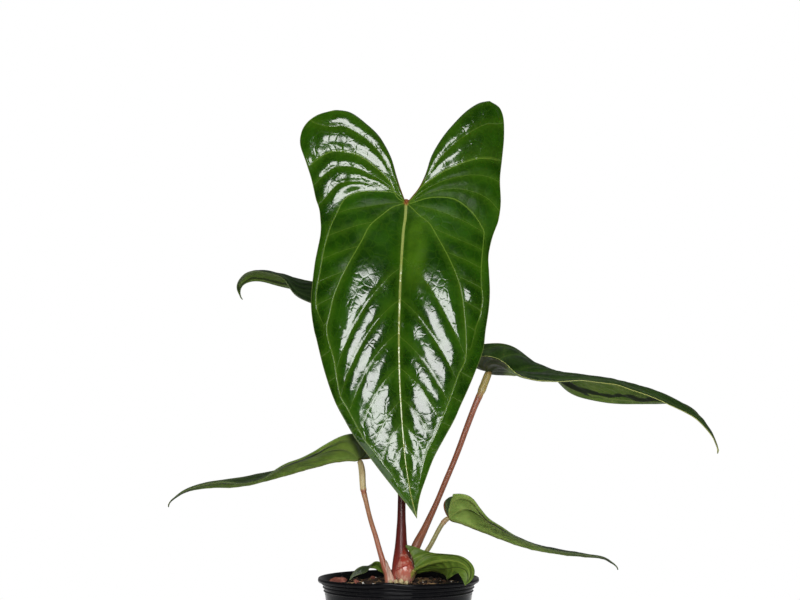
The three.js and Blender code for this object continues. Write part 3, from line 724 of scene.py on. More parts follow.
def sheet(leaf, across, place):
    """Where flat points of a leaf lie in space on its smooth middle sheet."""
    point, along = leaf["line"].at(place)
    level = unit(np.cross(along, np.array(leaf["face"], float)))
    up = np.cross(level, along)
    fold = by_half(leaf, across, "fold", place)
    bend = by_half(leaf, across, "curl", place) / leaf["reach"]
    bend = np.where(np.abs(bend) < 1e-6, 1e-6, bend)
    angle = fold + bend * np.abs(across)
    out = (np.sin(angle) - np.sin(fold)) / bend
    rise = (np.cos(fold) - np.cos(angle)) / bend
    return point + level * (np.sign(across) * out)[:, None] + up * rise[:, None]


def sheet_normal(leaf, across, place):
    step = 0.4
    side = sheet(leaf, across + step, place) - sheet(leaf, across - step, place)
    on = sheet(leaf, across, place + step) - sheet(leaf, across, place - step)
    return unit(np.cross(side, on))


def half_edges(leaf, half):
    """A half's inner and outer edge as smooth lines, and how much of the outer one belongs to the lobe."""
    length = leaf["line"].length
    if "outline" in half:
        inner, outer = (np.array(half["outline"][key], float) for key in ("inner", "outer"))
    else:
        inner, outer = (np.array(points) * (half["halfWidth"], 1) for points in (SMALL_INNER, SMALL_OUTER))
        for points in (inner, outer):
            points[:, 1] *= np.where(points[:, 1] < 0, half["lobe"], length)
    outer[-1, 1] = length
    steps = 16
    edge = spline(np.vstack([inner[::-1], outer[1:]]), steps, clamped=True)
    top = steps * (len(inner) - 1)
    inner, outer = edge[top::-1], edge[top:]
    turn = half.get("outline", {}).get("turn", 0)
    lengths = travelled(outer)
    return inner, outer, lengths[np.argmax(outer[:, 1] >= turn)] / lengths[-1]


def half_veins(leaf, half):
    """A half's veins as flat lines, and the places where its side veins start."""
    if "veins" in half:
        veins = half["veins"]
        return {key: spline(veins[key], 6) for key in ("main", "outer", "basal")}, veins["starts"]
    length = leaf["line"].length
    width, lobe = half.get("halfWidth", 9), half.get("lobe", 3)
    lines = {}
    for key, points in SMALL_VEINS.items():
        points = np.array(points, float) * (width, 1)
        points[:, 1] *= np.where(points[:, 1] < 0, lobe, length)
        lines[key] = spline(points, 6)
    pitch = leaf["pitch"] * 0.6
    return lines, list(np.arange(0.1 * length, 0.93 * length, pitch))


def flat_grid(leaf):
    """Both halves as one flat grid: its points, their share of the way to the margin, and its faces."""
    lobe_rows, body_rows, columns = leaf["grid"]
    known, flat, shares, faces = {}, [], [], []
    column = np.linspace(0, 1, columns + 1)
    for sign, half in ((1, leaf["plus"]), (-1, leaf["minus"])):
        inner, outer, beside = half_edges(leaf, half)
        body = np.linspace(0, 1, body_rows + 1)[1:]
        starts = np.vstack([
            along_line(inner, np.linspace(0, 1, lobe_rows + 1)),
            np.stack([np.zeros(body_rows), leaf["line"].length * body**1.2], axis=1),
        ])
        reach = np.concatenate([np.linspace(0, beside, lobe_rows + 1), beside + (1 - beside) * body])
        ends = along_line(outer, reach)
        rows = starts[:, None] + (ends - starts)[:, None] * column[None, :, None]
        index = np.empty(rows.shape[:2], int)
        for r, c in np.ndindex(index.shape):
            x, y = rows[r, c]
            key = (round(sign * x * 50), round(y * 50))
            if key not in known:
                known[key] = len(flat)
                flat.append((sign * x, y))
                shares.append(column[c])
            index[r, c] = known[key]
        for r in range(1, len(rows)):
            for c in range(1, columns + 1):
                corners = (index[r - 1, c - 1], index[r - 1, c], index[r, c], index[r, c - 1])
                face = tuple(dict.fromkeys(int(i) for i in corners[::sign]))
                if len(face) > 2:
                    faces.append(face)
    return np.array(flat), np.array(shares), faces


def nearest(flat, line):
    """Each flat point's distance from a line, positive on its margin side, and the share of the line it
    is beside."""
    start, step = line[:-1], np.diff(line, axis=0)
    to = flat[:, None] - start
    share = np.clip((to * step).sum(2) / (step**2).sum(1), 0, 1)
    distance = np.linalg.norm(to - share[..., None] * step, axis=2)
    best = distance.argmin(1)
    row = np.arange(len(flat))
    side = step[best, 0] * to[row, best, 1] - step[best, 1] * to[row, best, 0]
    return -np.sign(side) * distance[row, best], (best + share[row, best]) / len(step)


def side_vein(leaf, outer, start, across):
    """The places of one side vein at distances across: it leaves the midrib at a slant and bends to the
    tip."""
    end = start + 0.4 * (leaf["line"].length - start)
    width = 0.82 * np.interp(end, outer[:, 1], outer[:, 0])
    rise = end - start
    t = np.linspace(0, 1, 16)
    xs = 2 * t * (1 - t) * 0.54 * width + t**2 * width
    ys = start + 2 * t * (1 - t) * 0.28 * rise + t**2 * rise
    beyond = np.maximum(across - width, 0) * 0.72 * rise / (0.46 * width)
    return np.interp(across, xs, ys) + beyond


def vein_fields(leaf, flat):
    """What the materials and the relief need to know of the veins at each flat point, in millimetres.

    secondary is a wave that crosses nought on each side vein and is the distance from it nearby; main,
    outer and basal are signed distances, each with a strength that fades out at the vein's end."""
    fields = {key: np.zeros(len(flat)) for key in (
        "secondary", "main", "outer", "basal", "main_share", "outer_share", "basal_share", "crown",
        "margin", "sinus",
    )}
    for sign, half in ((1, leaf["plus"]), (-1, leaf["minus"])):
        on = flat[:, 0] * sign >= 0
        across, place = np.abs(flat[on, 0]), flat[on, 1]
        points = np.stack([across, place], axis=1)
        inner, outer, _ = half_edges(leaf, half)
        lines, starts = half_veins(leaf, half)
        found = {}
        for key, line in lines.items():
            distance, share = nearest(points, line)
            found[key] = distance
            found[key + "_end"] = share > 0.995
            fields[key][on] = distance
            fields[key + "_share"][on] = 1 - smoothstep(share, 0.75, 0.99)
        fields["margin"][on] = np.abs(nearest(points, outer)[0])
        fields["sinus"][on] = np.abs(nearest(points, inner)[0])

        body = outer[np.argmax(outer[:, 1] >= 0):]
        places = [side_vein(leaf, body, start, across) for start in starts]
        places = np.array([2 * places[0] - places[1], *places, 2 * places[-1] - places[-2]])
        gaps = np.maximum(np.diff(places, axis=0), 1)
        count = np.clip((place - places[:-1]) / gaps, 0, 1).sum(0) - 1
        count = np.clip(count, -0.5, len(starts) - 0.5)
        middles = np.arange(len(gaps)) - 0.5
        gap = np.array([np.interp(c, middles, g) for c, g in zip(count, gaps.T)])
        inside = np.sin(np.pi * count)

        band = leaf["pitch"] * 0.5
        between = np.sin(np.pi * (place - 0.45 * found["main"]) / band)
        wave = np.where(found["main"] > 0, between, inside)
        reach = np.where(found["main"] > 0, band, gap * 0.75) / np.pi
        beyond = (found["outer"] > 0) & ~found["outer_end"]
        below = np.abs(found["basal"])
        wide = np.where(
            found["basal"] > 0, below + fields["sinus"][on], below + np.abs(found["outer"])
        ) + 1e-6
        way = np.where(found["basal"] > 0, below, np.abs(found["outer"])) / wide
        lobe_wave = np.where(found["basal"] > 0, np.sin(2 * np.pi * way**1.4), np.sin(3 * np.pi * way))
        wave = np.where(beyond, lobe_wave, wave)
        reach = np.where(beyond, wide / 8.5, reach)
        fields["secondary"][on] = wave * reach

        def clear(distance, width):
            return 1 - np.exp(-((distance / width) ** 2))

        scale = leaf["pitch"] / FRONT_PITCH
        crown = np.abs(wave) ** 0.55
        for key in ("main", "outer", "basal"):
            crown *= clear(found[key], 5 * scale)
        crown *= np.where(place > 0, clear(across, 5 * scale), 1)
        fields["crown"][on] = crown * smoothstep(fields["margin"][on], 0, 7 * scale)
    return fields


def blade(name, upper, under, margin):
    """A leaf blade with its veins in relief, closed round its edge."""
    leaf = LEAVES[name]
    flat, shares, faces = flat_grid(leaf)
    across, place = flat.T
    veins = vein_fields(leaf, flat)
    normal = sheet_normal(leaf, across, place)
    length = leaf["line"].length
    scale = leaf["pitch"] / FRONT_PITCH

    swell = keyed(leaf["hump"], place / length) * np.sin(np.pi * shares**0.8)
    quilt = leaf["quilt"] * keyed(leaf.get("smooth", [(0, 1)]), place / length) * (2 * veins["crown"] - 1)
    loose = waves(flat, SLOW_WAVE[0] * scale, seed=len(name)) * SLOW_WAVE[1] * scale
    fine = waves(flat, QUICK_WAVE[0] * scale**0.5, seed=3 * len(name), octaves=3) * QUICK_WAVE[1] * scale**2
    edge = smoothstep(veins["margin"], 0, 6 * scale)
    past = np.maximum(veins["main"], 0)
    drop = BAND_SLOPE * past * (1 - np.exp(-past / 1.5)) * smoothstep(place / length, 0.3, 0.44)
    stand = swell + (quilt + loose + fine) * (0.2 + 0.8 * edge) - drop
    middle = sheet(leaf, across, place) + normal * stand[:, None]

    def ridge(distance, width):
        return np.exp(-((distance / width) ** 2))

    on_midrib = smoothstep(place, -1, 3) * ridge(across, 1.3 * (0.4 + 0.6 * scale))
    towards_tip = 1 - smoothstep(place / length, 0.3, 1)
    ribs = np.maximum.reduce(
        [ridge(veins[key], RIDGE_WIDTH) * veins[key + "_share"] for key in ("main", "outer", "basal")]
    )
    side_ribs = ridge(veins["secondary"], 1.1) * SIDE_VEIN_SHARE
    near_edge = np.minimum(veins["margin"], np.where(place < 0, veins["sinus"], 99))
    half_thickness = (
        MARGIN_THICKNESS + (BLADE_THICKNESS - MARGIN_THICKNESS) * smoothstep(near_edge, 0, 2)
    ) / 2
    above = half_thickness + MIDRIB_RISE * on_midrib * (0.3 + 0.7 * towards_tip)
    keel = leaf["keel"] * on_midrib * (0.25 + 0.75 * towards_tip)
    under_veins = VEIN_RISE * scale**0.5 * np.maximum(ribs, side_ribs) * smoothstep(near_edge, 0, 3)
    below = half_thickness + keel + under_veins

    count = len(flat)
    points = np.vstack([middle + normal * above[:, None], middle - normal * below[:, None]])
    lower = [tuple(i + count for i in reversed(face)) for face in faces]
    edges = {(face[i - 1], face[i]) for face in faces for i in range(len(face))}
    rim = [(b, a, a + count, b + count) for a, b in sorted(edges) if (b, a) not in edges]
    slots = [0] * len(faces) + [1] * len(lower) + [2] * len(rim)
    midrib_width = (0.5 + 0.9 * (1 - smoothstep(place / length, 0, 0.9))) * (0.45 + 0.55 * scale)
    known = {
        **veins, "across": across, "place": place, "level": np.zeros(count), "midrib_width": midrib_width,
        "share": place / length,
    }
    fields = {}
    for field, names in BLADE_FIELDS.items():
        values = np.stack([known[key] for key in names], axis=1)
        fields[field] = np.vstack([values, values])
    return make_piece(
        f"{name}_leaf", points, faces + lower + rim, [upper, under, margin], slots, fields,
        replaces=[f"{name}_blade"], slot=f"{name}_blade",
    )


# Leaf materials


def blade_fields(shader):
    """The numbers that a blade carries, by name, with its place on the flat leaf as a vector too."""
    found = {}
    for field, names in BLADE_FIELDS.items():
        vector, *numbers = shader.fields(field)
        found.update(zip(names, numbers))
        if field == "flat":
            found["flat"] = vector
    return found


def vein_lines(shader, f, width):
    """Where the primary veins, the side veins and the midrib run."""
    primaries = [
        shader.line(f[key], width, f[key + "_share"]) for key in ("main", "outer", "basal")
    ]
    primary = shader.math("MAXIMUM", shader.math("MAXIMUM", primaries[0], primaries[1]), primaries[2])
    side = shader.line(f["secondary"], 0.75 * width)
    on_body = shader.ease(f["place"], -1.5, 1)
    midrib = shader.line(f["across"], f["midrib_width"], on_body)
    return primary, side, midrib


def matte_crown_and_painted_sheen(shader, f, coloured, dull, gloss, pale):
    """The stretch round the petiole is matte, also out on the right lobe below its basal vein, and a little
    out from the midrib on the right half it has noisy patches of painted sheen in the pale green."""
    near = shader.ease(f["place"], 36, 66, 1.0, 0.0)
    inside = shader.ease(f["outer"], -2.0, 2.0, 1.0, 0.0)
    right = shader.times(
        shader.ease(f["across"], -9, -3, 1.0, 0.0), shader.ease(f["basal"], -7, -2, 1.0, 0.0)
    )
    matte = shader.times(near, shader.math("MAXIMUM", inside, right))
    dull = shader.plus(dull, shader.times(matte, 0.2))
    gloss = shader.times(gloss, shader.ease(matte, 0.0, 0.8, 1.0, 0.12))
    # Painted sheen: noisy patches of the pale green a little out from the midrib on the right half
    beside = shader.times(shader.ease(f["across"], -22, -12), shader.ease(f["across"], -6, -2, 1.0, 0.0))
    along = shader.times(shader.ease(f["place"], 4, 22), shader.ease(f["place"], 50, 82, 1.0, 0.0))
    painted_sheen_patches = shader.noise(f["flat"], 0.06, detail=3)
    light = shader.times(shader.times(beside, along), shader.ease(painted_sheen_patches, 0.25, 0.6, 0.35, 0.9))
    return shader.blend(light, coloured, pale), dull, gloss


def leaf_top(
    name, colours, vein, midrib, rim, scale, roughness=0.42, net=0.015, contrast=0.5, gloss=0.25,
    sunk=0.06, matte=False,
):
    """The upper face: deep green with sunk pale veins, a fine net between them and a thin edge line in the
    rim colour, partly the margin's own tint and partly a painted highlight. Matte makes the stretch round the
    petiole dull and adds painted sheen beside the midrib.

    Colours are those of its dark parts, its plain parts and the parts beside the veins."""
    shader = Shader(name)
    f = blade_fields(shader)
    primary, side, rib = vein_lines(shader, f, 0.62 * scale**0.5)
    dark, plain, pale = colours

    cloud = shader.noise(f["flat"], 0.035 / scale, detail=4)
    mottle = shader.noise(f["flat"], 0.35 * scale**2, detail=4 if scale == 1 else 2, roughness=0.55)
    green = shader.blend(shader.ease(cloud, 0.36, 0.66), dark, plain)
    near = shader.math("MINIMUM", shader.math("ABSOLUTE", f["main"]), shader.math("ABSOLUTE", f["secondary"]))
    near = shader.math("MINIMUM", near, shader.math("ABSOLUTE", f["across"]))
    halo = shader.times(shader.ease(near, 0.3 * scale, 6 * scale, 1.0, 0.0), mottle)
    green = shader.blend(shader.times(halo, 0.8), green, pale)

    warp = shader.noise(f["flat"], 0.16 / scale, detail=2)
    shift = shader.node("ShaderNodeVectorMath", {0: warp.node.outputs[1], 3: 3.0 * scale}, operation="SCALE")
    moved = shader.node("ShaderNodeVectorMath", {0: f["flat"], 1: shift}, operation="ADD")
    wide_net = shader.cells(moved, 0.15 / scale**0.5)
    fine_net = shader.cells(moved, 0.5 / scale**0.5)
    strand = shader.ease(wide_net, 0.0, 0.1, 1.0, 0.0)
    thread = shader.ease(fine_net, 0.0, 0.12, 1.0, 0.0)
    green = shader.blend(shader.times(strand, 0.16), green, pale)
    green = shader.blend(shader.times(thread, 0.07), green, pale)

    coloured = shader.blend(shader.times(side, contrast * 0.45), green, vein)
    coloured = shader.blend(shader.times(primary, contrast), coloured, vein)
    coloured = shader.blend(shader.times(rib, 0.85), coloured, midrib)
    # A thin line of the rim colour along the margin: partly the margin's own tint, partly a painted highlight
    coloured = shader.blend(shader.ease(f["margin"], 0.15, 0.7 * scale**0.5, 0.8, 0.0), coloured, rim)
    blush = shader.node("ShaderNodeVectorMath", {0: f["flat"]}, output=1, operation="LENGTH")
    coloured = shader.blend(shader.ease(blush, 0.6, 3 * scale, 0.8, 0.0), coloured, BLUSH)
    at_sinus = shader.times(shader.ease(f["sinus"], 0.3, 1.1, 0.8, 0.0), shader.ease(f["place"], -34, -6))
    coloured = shader.blend(at_sinus, coloured, SINUS_RED)

    strong = shader.ease(shader.noise(f["flat"], 0.05 / scale, detail=3), 0.4, 0.62, 0.25, 1.0)
    raised = shader.times(shader.ease(wide_net, 0.0, 0.17), shader.times(strong, net))
    raised = shader.plus(raised, shader.times(shader.ease(fine_net, 0.0, 0.25), net * 0.1))
    raised = shader.minus(raised, shader.times(shader.math("MAXIMUM", primary, side), sunk))
    relief = shader.bump(raised, MM, 1.0)
    grain = shader.noise(f["flat"], 0.6, detail=1)
    relief = shader.bump(grain, 0.004 * MM, 0.6, relief)
    dull = shader.ease(mottle, 0.3, 0.75, roughness * 0.8, roughness * 1.35)
    if matte:
        coloured, dull, gloss = matte_crown_and_painted_sheen(shader, f, coloured, dull, gloss, pale)
    return shader.finish(
        base_color=coloured, roughness=dull, normal=relief, specular_ior_level=gloss, subsurface_weight=0.03,
        subsurface_scale=0.6 * MM,
    )


def leaf_under(name, dark, plain, vein, tail, crease, painted_shadow_reach, scale):
    """The underside: paler and dull, with raised veins, and painted shade in the creases beside the main
    ones.

    The tail is the colour that it has towards the tip. A crease is the width, the strength and how far
    out that painted shade starts. The shadow reach is the place that a painted shadow over its base
    reaches to."""
    shader = Shader(name)
    f = blade_fields(shader)
    primary, side, rib = vein_lines(shader, f, 0.8 * scale**0.5)
    cloud = shader.noise(f["flat"], 0.05 / scale, detail=4)
    green = shader.blend(shader.ease(cloud, 0.34, 0.68), dark, plain)
    green = shader.blend(shader.ease(f["share"], 0.45, 0.85, 0.0, 0.85), green, tail)
    net = shader.cells(f["flat"], 0.2)
    thread = shader.ease(net, 0.0, 0.1, 1.0, 0.0)
    green = shader.blend(shader.times(thread, 0.1), green, vein)
    coloured = shader.blend(shader.times(side, 0.22), green, vein)
    coloured = shader.blend(shader.times(primary, 0.4), coloured, vein)
    coloured = shader.blend(shader.times(rib, 0.8), coloured, vein)
    # Painted shade: beside the main and outer veins, a crease line is darkened to the shade green, and its
    # groove is sunk a little in the bump
    width, strength, start = crease
    wander = shader.ease(shader.noise(f["flat"], 0.035, detail=1), 0.3, 0.7, -0.8 * width, 0.8 * width)
    shaded_creases = [
        shader.line(shader.plus(shader.plus(f[key], 1.2 * width), wander), width, strength)
        for key in ("main", "outer")
    ]
    begun = shader.ease(f["share"], start, start + 0.2)
    shaded_crease = shader.times(shader.math("MAXIMUM", *shaded_creases), begun)
    coloured = shader.blend(shaded_crease, coloured, PAINTED_SHADE)
    # Painted shadow: the base of the underside, up to its shadow reach and slanting across, is darkened to
    # the shade green
    slant = shader.plus(f["place"], shader.times(f["across"], 0.25))
    base = shader.ease(slant, painted_shadow_reach - 5, painted_shadow_reach + 2, 0.9, 0.0)
    coloured = shader.blend(base, coloured, PAINTED_SHADE)
    grain = shader.noise(f["flat"], 0.12, detail=1)
    raised = shader.minus(shader.times(grain, 0.06), shader.times(shaded_crease, 0.1))
    relief = shader.bump(raised, MM, 1.0)
    return shader.finish(
        base_color=coloured, roughness=0.42, normal=relief, specular_ior_level=0.2, subsurface_weight=0.05,
        subsurface_scale=0.6 * MM,
    )


def leaf_edge(name, colour, pale):
    shader = Shader(name)
    flat, *_ = shader.fields("flat")
    speckled = shader.noise(flat, 0.5, detail=3)
    # The edge faces are speckled with the rim colour, partly the margin's own tint and partly a painted
    # highlight
    mixed = shader.blend(shader.ease(speckled, 0.35, 0.65, 0.5, 0.8), colour, pale)
    relief = shader.bump(speckled, 0.02 * MM, 0.5)
    return shader.finish(base_color=mixed, roughness=0.4, normal=relief)


# Stems


def stalk_skin(name):
    """A stalk's skin: colours by share of its length, with fine lengthwise streaks and small flecks."""
    shader = Shader(name + "_stalk_skin")
    share, streaks = shader.stem_streaks(5.5, 0.012)
    base = shader.ramp(share, STALKS[name])
    dark = shader.blend(1.0, base, (0.55, 0.5, 0.46, 1), "MULTIPLY")
    coloured = shader.blend(shader.ease(streaks, 0.3, 0.72, 0.5, 0.0), base, dark)
    spots = shader.noise(shader.place(), 900.0, detail=2)
    coloured = shader.blend(shader.ease(spots, 0.64, 0.72, 0.0, 0.55), coloured, tone(110, 60, 44))
    relief = shader.bump(streaks, 0.25 * MM, 0.6)
    return shader.finish(
        base_color=coloured, roughness=0.35, normal=relief, subsurface_weight=0.05,
        subsurface_scale=0.8 * MM,
    )


def stalk(name):
    """A leaf's stalk. It ends a little short of the blade's underside."""
    node = name + "_petiole"
    points, faces, along = tube(
        LEAVES[name]["petiole"], STALK_SIDES, STALK_RINGS, stalk_shape(JOINTS[name]), STALK_SHORT
    )
    make_piece(
        node + "_skin", points, faces, [stalk_skin(name)], None, {"stem": along}, replaces=[node], slot=node,
    )


def stalk_shape(joint):
    """A stalk is a little flattened and ribbed, with a ring-shaped crease at the foot of its swollen
    joint."""

    def shape(angle, share):
        ribs = 0.018 * np.sin(7 * angle + 3 * share) + 0.012 * np.sin(12 * angle - 5 * share)
        groove = -0.07 * np.exp(-((np.cos(angle) - 1) / 0.12) ** 2)
        crease = -0.1 * np.exp(-(((share - joint) / 0.006) ** 2))
        swell = 0.09 * np.exp(-(((share - joint - 0.02) / 0.014) ** 2))
        knots = 0.012 * np.sin(43 * share + 2 * np.sin(angle))
        return 1 + ribs + groove + crease + swell + knots

    return shape


# Every stalk's colours, by share of its length from its foot
STALKS = {
    "front": [
        (0.0, tone(190, 104, 90)), (0.04, tone(150, 56, 44)), (0.1, tone(98, 26, 18)),
        (0.2, tone(66, 18, 12)), (0.5, tone(88, 34, 20)), (0.86, tone(116, 78, 36)),
        (0.93, tone(170, 146, 74)), (1.0, tone(150, 86, 48)),
    ],
    "back_left": [
        (0.0, tone(150, 90, 74)), (0.15, tone(124, 70, 52)), (0.6, tone(132, 84, 58)),
        (0.9, tone(128, 110, 62)), (0.95, tone(176, 168, 96)), (1.0, tone(150, 140, 80)),
    ],
    "right_high": [
        (0.0, tone(168, 108, 84)), (0.1, tone(140, 88, 62)), (0.6, tone(158, 96, 70)),
        (0.86, tone(178, 112, 88)), (0.9, tone(196, 178, 110)), (0.97, tone(190, 172, 104)),
        (1.0, tone(128, 96, 56)),
    ],
    "left_low": [
        (0.0, tone(192, 126, 104)), (0.12, tone(178, 104, 80)), (0.5, tone(168, 118, 86)),
        (0.7, tone(178, 134, 96)), (0.74, tone(150, 84, 58)), (0.76, tone(206, 188, 138)),
        (0.95, tone(198, 180, 133)), (1.0, tone(172, 150, 104)),
    ],
    "right_low": [
        (0.0, tone(176, 150, 104)), (0.3, tone(152, 146, 92)), (0.8, tone(146, 140, 90)),
        (0.9, tone(180, 146, 110)), (1.0, tone(150, 140, 84)),
    ],
    "over_rim": [(0.0, tone(190, 170, 110)), (0.5, tone(166, 162, 79)), (1.0, tone(158, 156, 74))],
    "left_small": [(0.0, tone(170, 150, 96)), (0.5, tone(136, 146, 76)), (1.0, tone(126, 140, 70))],
}

# Where each stalk's swollen joint begins, as a share of its length
JOINTS = {
    "front": 0.925, "back_left": 0.95, "right_high": 0.885, "left_low": 0.735, "right_low": 0.86,
    "over_rim": 0.7, "left_small": 0.7,
}

# Every blade's greens: its upper face's dark, plain and vein-side parts, its veins, midrib and edge, the
# edge partly its own tint and partly a painted highlight, then its underside's dark and plain parts, veins
# and tail, and the width, strength and start of the painted shade in that side's creases
GREENS = {
    "front": (
        (tone(18, 50, 2), tone(38, 78, 5), tone(68, 104, 16)), tone(100, 130, 42), tone(150, 160, 82),
        tone(120, 140, 60),
        (tone(70, 104, 44), tone(92, 124, 58), tone(150, 166, 96), tone(80, 112, 50)), (0.6, 0.2, 0.1),
    ),
    "back_left": (
        (tone(16, 30, 10), tone(26, 44, 16), tone(44, 64, 26)), tone(60, 78, 38), tone(80, 94, 50),
        tone(96, 110, 60),
        (tone(70, 94, 26), tone(88, 112, 36), tone(110, 128, 54), tone(84, 108, 36)), (1.4, 0.75, 0.35),
    ),
    "right_high": (
        (tone(20, 42, 6), tone(36, 62, 12), tone(58, 84, 26)), tone(76, 98, 36), tone(130, 136, 70),
        tone(196, 200, 116),
        (tone(86, 116, 36), tone(112, 138, 56), tone(150, 164, 84), tone(60, 84, 26)), (3.0, 0.95, 0.05),
    ),
    "left_low": (
        (tone(24, 40, 10), tone(46, 66, 28), tone(72, 92, 44)), tone(104, 120, 66), tone(160, 136, 96),
        tone(92, 108, 56),
        (tone(92, 118, 44), tone(116, 142, 58), tone(140, 156, 78), tone(66, 90, 30)), (2.0, 0.95, 0.0),
    ),
    "right_low": (
        (tone(26, 44, 16), tone(50, 66, 38), tone(70, 86, 54)), tone(90, 104, 66), tone(150, 150, 96),
        tone(84, 100, 60),
        (tone(112, 138, 62), tone(138, 162, 80), tone(160, 176, 98), tone(58, 74, 40)), (1.6, 0.95, 0.0),
    ),
    "over_rim": (
        (tone(54, 76, 22), tone(82, 106, 36), tone(116, 130, 52)), tone(130, 140, 62), tone(150, 152, 74),
        tone(60, 80, 24),
        (tone(72, 94, 30), tone(98, 122, 44), tone(116, 134, 54), tone(84, 108, 36)), (0.5, 0.7, 0.1),
    ),
    "left_small": (
        (tone(34, 46, 28), tone(52, 66, 42), tone(70, 84, 52)), tone(88, 100, 62), tone(100, 110, 66),
        tone(100, 112, 66),
        (tone(84, 112, 40), tone(106, 136, 54), tone(130, 152, 70), tone(70, 92, 40)), (0.4, 0.5, 0.2),
    ),
}

FRONT_SHINE = {"roughness": 0.15, "gloss": 0.9, "net": 0.09, "contrast": 0.7, "sunk": 0.2, "matte": True}

# On an underside, how far along the leaf the painted shadow over its base reaches, in millimetres from the
# petiole
PAINTED_SHADOW_REACH = {"right_high": 15, "left_low": 1, "right_low": -3, "back_left": -2}

for leaf in LEAVES.values():
    leaf["line"] = Midrib(leaf["midrib"], 0.2 * leaf["reach"])

for name, (greens, vein, midrib, rim, underside, crease) in GREENS.items():
    scale = LEAVES[name]["pitch"] / FRONT_PITCH
    shine = FRONT_SHINE if name == "front" else {}
    top = leaf_top(name + "_top", greens, vein, midrib, rim, scale, **shine)
    under = leaf_under(name + "_underside", *underside, crease, PAINTED_SHADOW_REACH.get(name, -99), scale)
    edge = leaf_edge(name + "_edge", greens[1], rim)
    blade(name, top, under, edge)
    stalk(name)


# The growth bud, the papery scale beside it and the rhizome

GROWTH_BUD = [
    (4.2, -9, 97.6, 4.2), (4.6, -9.6, 101.5, 6.4), (4.7, -9.8, 106, 7.1), (4.6, -9.4, 111, 6.3),
    (4.2, -8.6, 116, 4), (3.9, -8, 120.5, 1.8), (3.7, -7.6, 123.5, 0.6),
]
CATAPHYLL = [
    (-5.2, -7.5, 97, 3.2), (-6.2, -7, 101.5, 2.8), (-7.6, -6.4, 106.5, 1.9), (-8.8, -6, 111, 1),
    (-9.6, -5.8, 113.4, 0.5),
]
RHIZOME = [
    (1, 0, 66, 6), (1, 0, 74, 7.6), (1, 0, 84, 8.2), (1.2, 0, 93, 8), (1.5, -1, 98.5, 6.4),
    (1.8, -2, 102, 3.6),
]
ROOT_STUBS = 7
ROOT_START = 93
ROOT_DROPS = (34, 26)

# Young root tips at the front of the rhizome: the place of each one's end, its radius and its sideways lean
ROOT_NUBS = [
    (-1.6, -14.6, 98.4, 1.6, -0.4), (1.9, -16.2, 98.9, 1.8, 0.3), (5.6, -16.8, 98, 1.5, 0.6),
    (-5.6, -12, 98.2, 1.3, -0.8),
]

# The bud's scales: the height of each one's point as a share of the bud, and the way it faces
BUD_SCALES = [(0.34, -0.6), (0.52, 2.4), (0.72, -1.9), (0.88, 1.2)]


def scale_edge(angle, share, height, facing):
    """How far above a scale's V-shaped upper edge a point of the bud lies, as a share of its length."""
    turn = np.abs(np.angle(np.exp(1j * (angle - facing)))) / np.pi
    return share - (height - 0.3 * turn**0.8)


def bud_shape(angle, share):
    grown = 1 + 0.012 * np.sin(17 * angle + 9 * share)
    for height, facing in BUD_SCALES:
        grown = grown - 0.045 * smoothstep(scale_edge(angle, share, height, facing), 0, 0.012)
    return grown + 0.09


def bud_piece():
    points, faces, along = tube(GROWTH_BUD, 96, 150, bud_shape)
    edges = np.stack([scale_edge(along[:, 2], along[:, 1], *scale) for scale in BUD_SCALES])
    nearest_edge = np.where(edges < 0, -edges, 0.35 + edges).min(0)
    shader = Shader("bud_scales")
    share, streaks = shader.stem_streaks(7.0, 0.02)
    edge = shader.field("edge")
    base = shader.ramp(share, [
        (0.0, tone(206, 160, 140)), (0.3, tone(198, 112, 94)), (0.6, tone(164, 64, 50)),
        (1.0, tone(112, 30, 22)),
    ])
    blotches = shader.noise(shader.place(), 260.0, detail=4)
    coloured = shader.blend(shader.ease(blotches, 0.46, 0.7, 0.0, 0.6), base, tone(226, 190, 170))
    coloured = shader.blend(shader.ease(streaks, 0.5, 0.72, 0.0, 0.5), coloured, tone(170, 76, 64))
    coloured = shader.blend(shader.ease(edge, 0.0, 0.035, 0.9, 0.0), coloured, tone(134, 30, 24))
    relief = shader.bump(streaks, 0.2 * MM, 0.7)
    skin = shader.finish(
        base_color=coloured, roughness=0.24, normal=relief, subsurface_weight=0.12, subsurface_scale=MM,
        coat_weight=0.3, coat_roughness=0.15,
    )
    fields = {"stem": along, "edge": nearest_edge}
    make_piece("bud", points, faces, [skin], None, fields, replaces=["growth_bud"], slot="growth_bud")


def cataphyll_shape(angle, share):
    """A dry scale, folded lengthwise and torn at its tip."""
    folds = 0.14 * np.sin(3 * angle + 2 * share) + 0.05 * np.sin(9 * angle - 6 * share)
    torn = 0.3 * smoothstep(share, 0.7, 1) * np.sin(5 * angle + 31 * share)
    return 0.86 + folds + torn


def papery():
    shader = Shader("dry_scale")
    share, fibres = shader.stem_streaks(11.0, 0.01)
    base = shader.ramp(share, [
        (0.0, tone(206, 160, 142)), (0.4, tone(196, 142, 122)), (0.8, tone(150, 96, 74)),
        (1.0, tone(110, 66, 46)),
    ])
    coloured = shader.blend(shader.ease(fibres, 0.35, 0.68), base, tone(226, 204, 184))
    relief = shader.bump(fibres, 0.35 * MM, 0.8)
    return shader.finish(base_color=coloured, roughness=0.7, normal=relief)


def woody():
    shader = Shader("rhizome_bark")
    rings = shader.noise(shader.place(), 130.0, detail=5, stretch=(0.35, 0.35, 2.2))
    spots = shader.noise(shader.place(), 520.0, detail=3)
    coloured = shader.ramp(
        rings, [(0.34, tone(70, 48, 34)), (0.52, tone(124, 92, 62)), (0.7, tone(150, 138, 92))]
    )
    coloured = shader.blend(shader.ease(spots, 0.56, 0.7), coloured, tone(60, 40, 30))
    relief = shader.bump(shader.plus(rings, shader.times(spots, 0.4)), 0.8 * MM, 0.9)
    return shader.finish(base_color=coloured, roughness=0.75, normal=relief)


